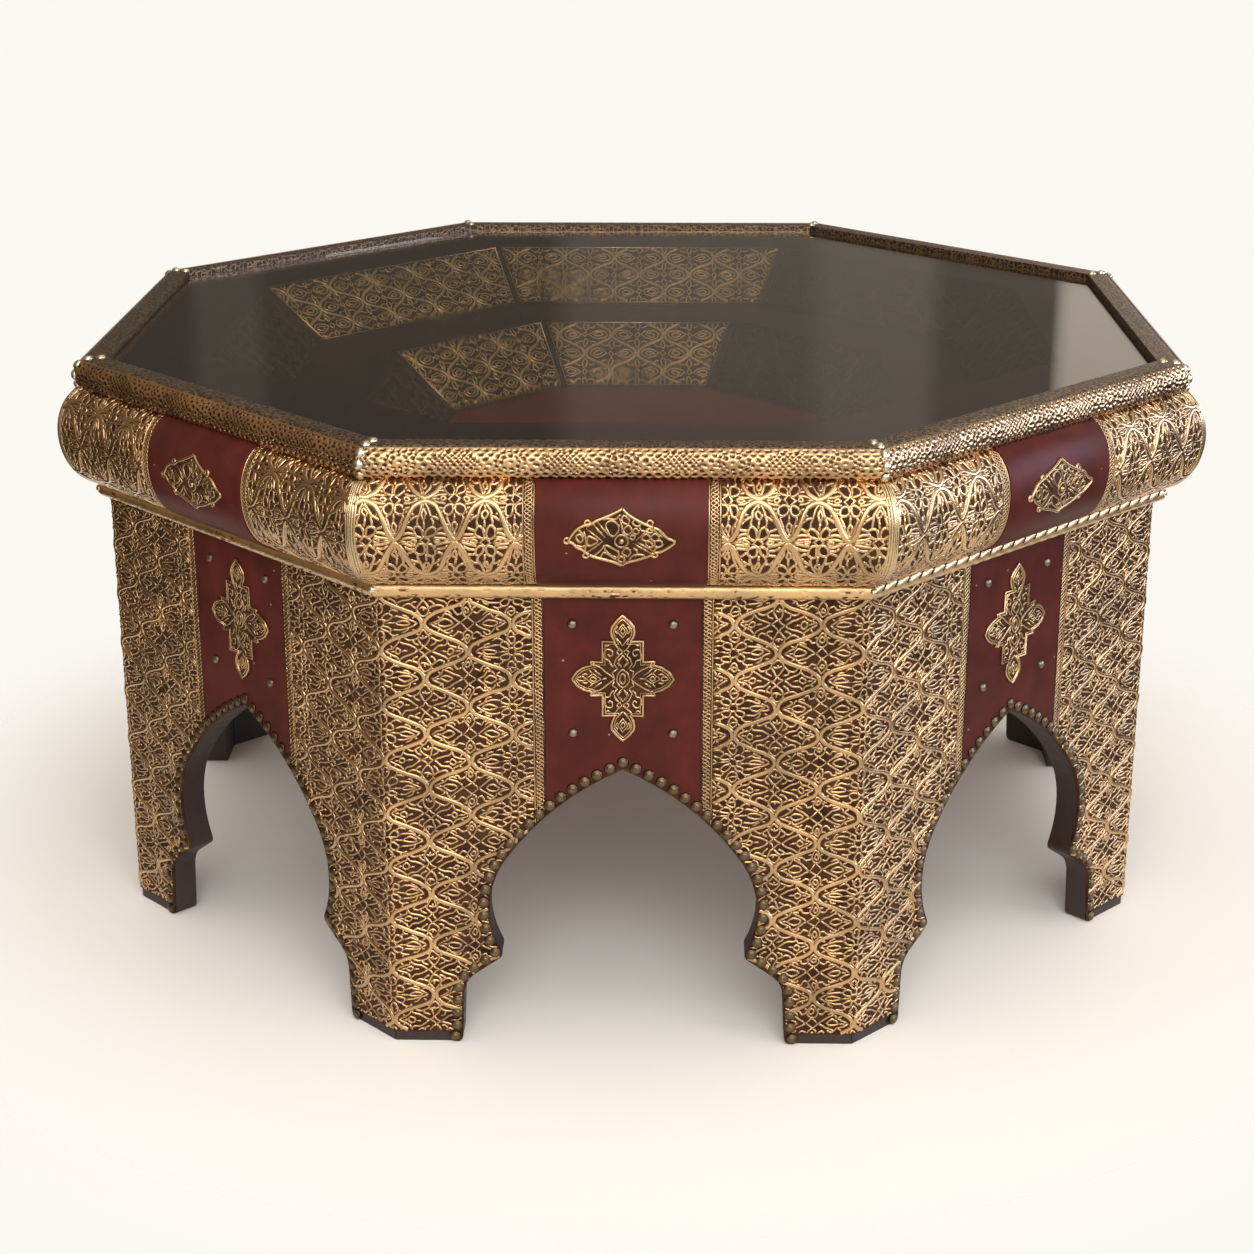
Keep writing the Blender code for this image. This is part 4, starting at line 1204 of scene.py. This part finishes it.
class TABLE_OT_frame(bpy.types.Operator):
    """Round the top rails, pierce their brass and nail their mitres"""
    bl_idname = "table.frame"
    bl_label = "Top frame"

    def execute(self, context):
        sizes, trim = context.scene.table_brasswork, context.scene.table_trim
        points = rail_curve()
        curve = Moulding(points)
        rebate = [p for p in RAIL if p[0] < RAIL_OUTER - RAIL_UNDER - SLACK and p[1] < RAIL_TOP - SLACK]
        section = points + sorted(rebate, key=lambda p: (-p[1], -p[0]))
        repeat(mitred_bar(section), "rail_core", bronzed_brass(), stands_for="frame_rail", smooth=40)

        thick, tucked, hem = 0.0009, -0.0003, 0.0024
        high = curve.length - (RAIL_OUTER - RAIL_ROUND - RAIL_SIGHT) - 0.0052
        bm = bmesh.new()
        bmesh.ops.create_grid(bm, x_segments=470, y_segments=40, size=0.5)
        crest = bm.verts.layers.float.new("crest")
        for v in bm.verts:
            way = (v.co.y + 0.5) * high
            x = v.co.x * 2 * (curve.half(way) - 0.0010)
            rim = abs(v.co.y) > 0.499 or abs(v.co.x) > 0.499
            metal = self.pierced(x, way, sizes.rail_repeat) if way < high - hem else 1.0
            # Where the sheet dips for a hole its crest drops too, so the hole is painted near black: the dark core
            # behind it and the shade in it, painted in. The tucked rim is a little darker.
            v[crest] = 0.4 if rim else metal
            v.co = curve.surface(x, way, tucked if rim else thick * metal + 0.0001)
        repeat(bm, "rail_filigree", chased_brass("red gold"), smooth=60)

        bm = bmesh.new()
        places = [curve.on_mitre(way) @ Matrix.Diagonal((0.9, 1.05, 1.0, 1.0))
                  for way in (0.0085, 0.0180, 0.0275, 0.0375, 0.0475)]
        add_nails(bm, NAIL_DOME, trim.mitre_nail, 0.0026, places)
        repeat(bm, "mitre_nails", bright_nickel())
        return {"FINISHED"}

    def pierced(self, x, way, pitch):
        """How much metal the rail's sheet keeps: rosettes and nets of small holes, with rows of slots round them."""
        middle, wide, ring_step, net_step, slot_step = 0.0205, 1.35, 0.0033, 0.0048, 0.0037
        sway = 0.0013 * noise.noise_vector(Vector((x, way, 0.0)) / 0.006)
        x, up = x + sway.x, way + sway.y - middle
        from_rosette = (x + pitch / 2) % pitch - pitch / 2
        from_net = x % pitch - pitch / 2
        spread = math.hypot(from_rosette / wide, up)
        if spread < 0.0099:
            ring = int(spread / ring_step)
            around = (0, 8, 14)[ring] * math.atan2(up, from_rosette / wide) / math.tau + 0.37 * ring
            hole = 1.0 - spread / 0.0018
            if ring:
                hole = abs(math.sin(math.pi * spread / ring_step) * math.sin(math.pi * around))
        elif math.hypot(from_net / 2.1, up) < 0.0086:
            hole = abs(math.sin(math.pi * (x + up) / net_step) * math.sin(math.pi * (x - up) / net_step)) + 0.06
        else:
            row = round((way + sway.y) / slot_step)
            along = (x + 0.0043 * (row % 2)) / 0.0070 % 1.0 - 0.5
            across = (way + sway.y) / slot_step - row
            hole = 1.2 - math.hypot(along * 2.7, across * 2.2) if way > 0.0058 else 0.0
        return min(1.0, max(0.0, 1.0 - (hole - 0.30) / 0.25))


class TABLE_OT_well(bpy.types.Operator):
    """Line the stepped well with brass and leather"""
    bl_idname = "table.well"
    bl_label = "Display well"

    def execute(self, context):
        sizes = context.scene.table_brasswork
        dress(("well_upper_tray", "well_lower_tray"), stained_wood(scratched=True))
        dress(["well_floor"], oxblood_leather(flecked=True))
        slopes = {"upper": ((WELL_MOUTH, DECK_TOP), (LEDGE_OUTER, LEDGE_TOP)),
                  "lower": ((LEDGE_INNER, LEDGE_TOP), (FLOOR_REACH, FLOOR_TOP))}
        margin, back, thick = 0.004, -0.0003, 0.0006
        for tier, ends in slopes.items():
            slope = Moulding(ends)
            top, bottom = margin, slope.length - margin
            wide, narrow = (slope.half(way) - margin for way in (top, bottom))
            outline = [Vector(p) for p in ((-wide, top), (wide, top), (narrow, bottom), (-narrow, bottom))]
            sheet = plate(outline, back, thick)
            inside = within(outline, 0.0014)
            bands, lines = lattice(sizes.well_cell_width / 2, sizes.well_cell_height / 2, (-wide, 0.0),
                                   (wide, slope.length), (WELL_LINES,), (0.0, slope.length / 2))
            lift = lambda x, way, h: slope.surface(x, way, h + thick)
            bm = bmesh.new()
            raise_lines(bm, trimmed(bands, inside), 0.0034, 0.0009, BROAD)
            raise_lines(bm, trimmed(lines, inside), 0.0018, 0.0006, FLAT)
            raise_lines(bm, [(outline, True)], 0.0018, 0.0008)
            # Sides 5 and 6 keep the lit finishes; the other sides get darker copies, umber and shaded old gold, which
            # are painted shade.
            for sides, ground, tone in (((5, 6), "olive", "old gold"), ((1, 2, 3, 4, 7, 8), "umber", "tarnished")):
                repeat(sheet.copy(), f"well_sheet_{tier}", patinated_brass(ground), slope.surface, sides,
                       smooth=30)
                repeat(bm.copy(), f"well_filigree_{tier}", chased_brass(tone), lift, sides)
            sheet.free()
            bm.free()
        return {"FINISHED"}


class TABLE_OT_glass(bpy.types.Operator):
    """Tint the glass top"""
    bl_idname = "table.glass"
    bl_label = "Smoked glass"

    def execute(self, context):
        dress(["glass_top"], smoked_glass())
        return {"FINISHED"}


# The stage. Lamps: name, place, size, power and tint. Flags: name, middle, axis they are turned about, size, axis that
# their glow follows, glow at places along it, and tint.
LAMPS = (
    ("key", (3.0, 0.05, 1.45), (0.5, 0.7), 3.0, "#E4EEFF"),
    ("front", (0.3, -3.0, 2.1), (2.2, 1.6), 52.0, "#FFFFFF"),
    ("top", (1.1, -1.5, 3.0), (1.3, 1.3), 13.0, "#FFFFFF"),
)
FLAG_REACH = 4.0
STRIPS = ((-4.0, 0.08), (-1.55, 0.08), (-1.50, 0.13), (-1.33, 0.13), (-1.29, 0.08), (-0.38, 0.08), (-0.28, 0.16),
          (0.44, 0.17), (0.54, 0.23), (0.84, 0.23), (0.90, 0.14), (1.26, 0.14), (1.29, 0.80), (4.0, 0.80))
FLAGS = (
    ("back_flag", (-0.69, 5.5, 3.9), "X", (6.58, 6.2), "X", STRIPS, "#FFF3E4"),
    ("left_flag", (-3.3, 1.4, 3.9), "Y", (10.4, 13.2), "Z",
     ((-4.0, 0.03), (-0.1, 0.03), (0.3, 0.26), (4.0, 0.26)), "#FFE4C4"),
    ("right_flag", (4.2, 1.4, 2.0), "Y", (7.0, 13.2), "Z",
     ((-4.0, 0.22), (-0.1, 0.22), (0.3, 0.3), (4.0, 0.3)), "#F4F8FF"),
    ("right_box", (4.1, -1.55, 1.46), "Y", (1.6, 5.3), "Z", ((-4.0, 8.0), (4.0, 8.0)), "#C8DBFF"),
    ("left_mat", (-1.7, 0.1, 0.003), None, (1.7, 3.0), "Z", ((-4.0, 0.06), (4.0, 0.06)), "#FFDDB8"),
    ("right_mat", (1.72, 0.1, 0.003), None, (1.7, 3.0), "Z", ((-4.0, 0.06), (4.0, 0.06)), "#FFF0E0"),
)


class TABLE_OT_stage(bpy.types.Operator):
    """Set the floor, the lamps, the world and the camera"""
    bl_idname = "table.stage"
    bl_label = "Stage"

    def execute(self, context):
        scene = context.scene
        scene.view_settings.view_transform = "Standard"
        self.floor()
        self.flags()
        self.world(scene)
        for name, place, size, power, tint in LAMPS:
            light = bpy.data.lights.new(name, "AREA")
            light.shape, light.energy, light.color = "RECTANGLE", power, linear(tint)[:3]
            light.size, light.size_y = size
            lamp = bpy.data.objects.new(name, light)
            lamp.location = place
            lamp.rotation_euler = (Vector((0, 0, 0.3)) - Vector(place)).to_track_quat("-Z", "Y").to_euler()
            scene.collection.objects.link(lamp)
        camera = bpy.data.cameras.new("camera")
        camera.sensor_width, camera.lens = 36.0, 69.475
        view = bpy.data.objects.new("camera", camera)
        pitch, yaw, roll = math.radians(19.646), math.radians(-1.212), math.radians(-0.07)
        aim = Vector((math.sin(yaw) * math.cos(pitch), math.cos(yaw) * math.cos(pitch), -math.sin(pitch)))
        heading = aim.to_track_quat("-Z", "Y").to_matrix().to_4x4()
        view.matrix_world = Matrix.Translation((0.0405, -2.2093, 0.9893)) @ heading @ Matrix.Rotation(roll, 4, "Z")
        scene.collection.objects.link(view)
        scene.camera = view
        return {"FINISHED"}

    def floor(self):
        """A round pale floor that fades into the background at its rim.

        A little glow stands in for the warm light that the room throws under the table."""
        finish = Finish("matt studio floor")
        away = add(finish.tree, "ShaderNodeVectorMath", {0: finish.place}, operation="LENGTH").outputs["Value"]
        finish.clear(finish.ramp(away, 0.50, 0.86, interpolation_type="SMOOTHSTEP"), linear("#FFFFFF"))
        material = finish.made({
            "Base Color": list(colours().floor), "Roughness": 0.9, "Specular IOR Level": 0.1,
            "Emission Color": linear("#FFD8B0"), "Emission Strength": 0.045})
        bm = bmesh.new()
        bmesh.ops.create_circle(bm, cap_ends=True, segments=96, radius=1.5)
        self.stand("floor", bm, material)

    def flags(self):
        """Studio flags, unseen but mirrored: one behind the table with paler strips, a dark one to its left, a grey one
        to its right with a bright cool box before it that spares the glass, and two dark mats on the floor."""
        for name, place, tilt, size, axis, glow, tint in FLAGS:
            finish = Finish("flag cloth")
            finish.tree.nodes.remove(finish.shader)
            along = add(finish.tree, "ShaderNodeSeparateXYZ", {0: finish.place}).outputs[axis]
            ramp = add(finish.tree, "ShaderNodeValToRGB", {0: finish.ramp(along, -FLAG_REACH, FLAG_REACH)})
            stops = ramp.color_ramp.elements
            while len(stops) < len(glow):
                stops.new(0.5)
            for stop, (x, level) in zip(stops, glow):
                stop.position, stop.color = (x + FLAG_REACH) / (2 * FLAG_REACH), darker(linear(tint), level)
            light = add(finish.tree, "ShaderNodeEmission", {"Color": ramp.outputs["Color"]}).outputs[0]
            fill(finish.tree.nodes["Material Output"], {"Surface": light})
            turn = Matrix.Rotation(math.pi / 2, 4, tilt) if tilt else Matrix.Identity(4)
            bm = bmesh.new()
            bmesh.ops.create_grid(bm, x_segments=1, y_segments=1, size=0.5)
            bmesh.ops.transform(bm, verts=bm.verts,
                                matrix=Matrix.Translation(place) @ turn @ Matrix.Diagonal((*size, 1, 1)))
            flag = self.stand(name, bm, finish.material)
            flag.visible_camera = flag.visible_diffuse = flag.visible_shadow = False
            if name == "right_box":
                spared = bpy.data.collections.new("spared by the box")
                spared.objects.link(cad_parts["glass_top"])
                spared.collection_objects[0].light_linking.link_state = "EXCLUDE"
                flag.light_linking.receiver_collection = spared

    def stand(self, name, bm, material):
        """Puts a piece of the stage in the scene."""
        mesh = bpy.data.meshes.new(name)
        bm.to_mesh(mesh)
        bm.free()
        mesh.materials.append(material)
        piece = bpy.data.objects.new(name, mesh)
        bpy.context.scene.collection.objects.link(piece)
        return piece

    def world(self, scene):
        """A pale surround: seen directly and mirrored at full strength, and lighting softly."""
        world = bpy.data.worlds.new("pale studio")
        scene.world = world
        world.use_nodes = True
        tree = world.node_tree
        lit = tree.nodes["Background"]
        fill(lit, {"Color": linear("#FDF6EE"), "Strength": 0.80})
        seen = add(tree, "ShaderNodeBackground", {"Color": linear("#FBF8F2"), "Strength": 1.0}).outputs[0]
        path = add(tree, "ShaderNodeLightPath").outputs
        direct = path["Is Camera Ray"]
        for other in ("Is Glossy Ray", "Is Transmission Ray"):
            direct = add(tree, "ShaderNodeMath", {0: direct, 1: path[other]}, operation="MAXIMUM").outputs[0]
        mixed = add(tree, "ShaderNodeMixShader", {0: direct, 1: lit.outputs[0], 2: seen}).outputs[0]
        fill(tree.nodes["World Output"], {"Surface": mixed})


OPERATORS = (TABLE_OT_wood, TABLE_OT_legs, TABLE_OT_panels, TABLE_OT_rolls, TABLE_OT_bands, TABLE_OT_frame,
             TABLE_OT_well, TABLE_OT_glass, TABLE_OT_stage)


class TABLE_PT_dressing(bpy.types.Panel):
    """Settings and pieces of the coffee table"""
    bl_idname = "TABLE_PT_dressing"
    bl_label = "Coffee Table"
    bl_space_type = "VIEW_3D"
    bl_region_type = "UI"
    bl_category = "Coffee Table"

    def draw(self, context):
        for group in (context.scene.table_brasswork, context.scene.table_trim, context.scene.table_colours):
            box = self.layout.box()
            for name in group.__annotations__:
                box.prop(group, name)
        for operator in OPERATORS:
            self.layout.operator(operator.bl_idname)


SETTINGS = {"table_brasswork": BrassworkSizes, "table_trim": TrimSizes, "table_colours": TableColours}
CLASSES = (*SETTINGS.values(), *OPERATORS, TABLE_PT_dressing)


def register():
    for item in CLASSES:
        bpy.utils.register_class(item)
    for name, group in SETTINGS.items():
        setattr(bpy.types.Scene, name, bpy.props.PointerProperty(type=group))


def unregister():
    for name in SETTINGS:
        delattr(bpy.types.Scene, name)
    for item in reversed(CLASSES):
        bpy.utils.unregister_class(item)


def main():
    register()
    for operator in OPERATORS:
        group, name = operator.bl_idname.split(".")
        getattr(getattr(bpy.ops, group), name)()


if __name__ == "__main__":
    main()
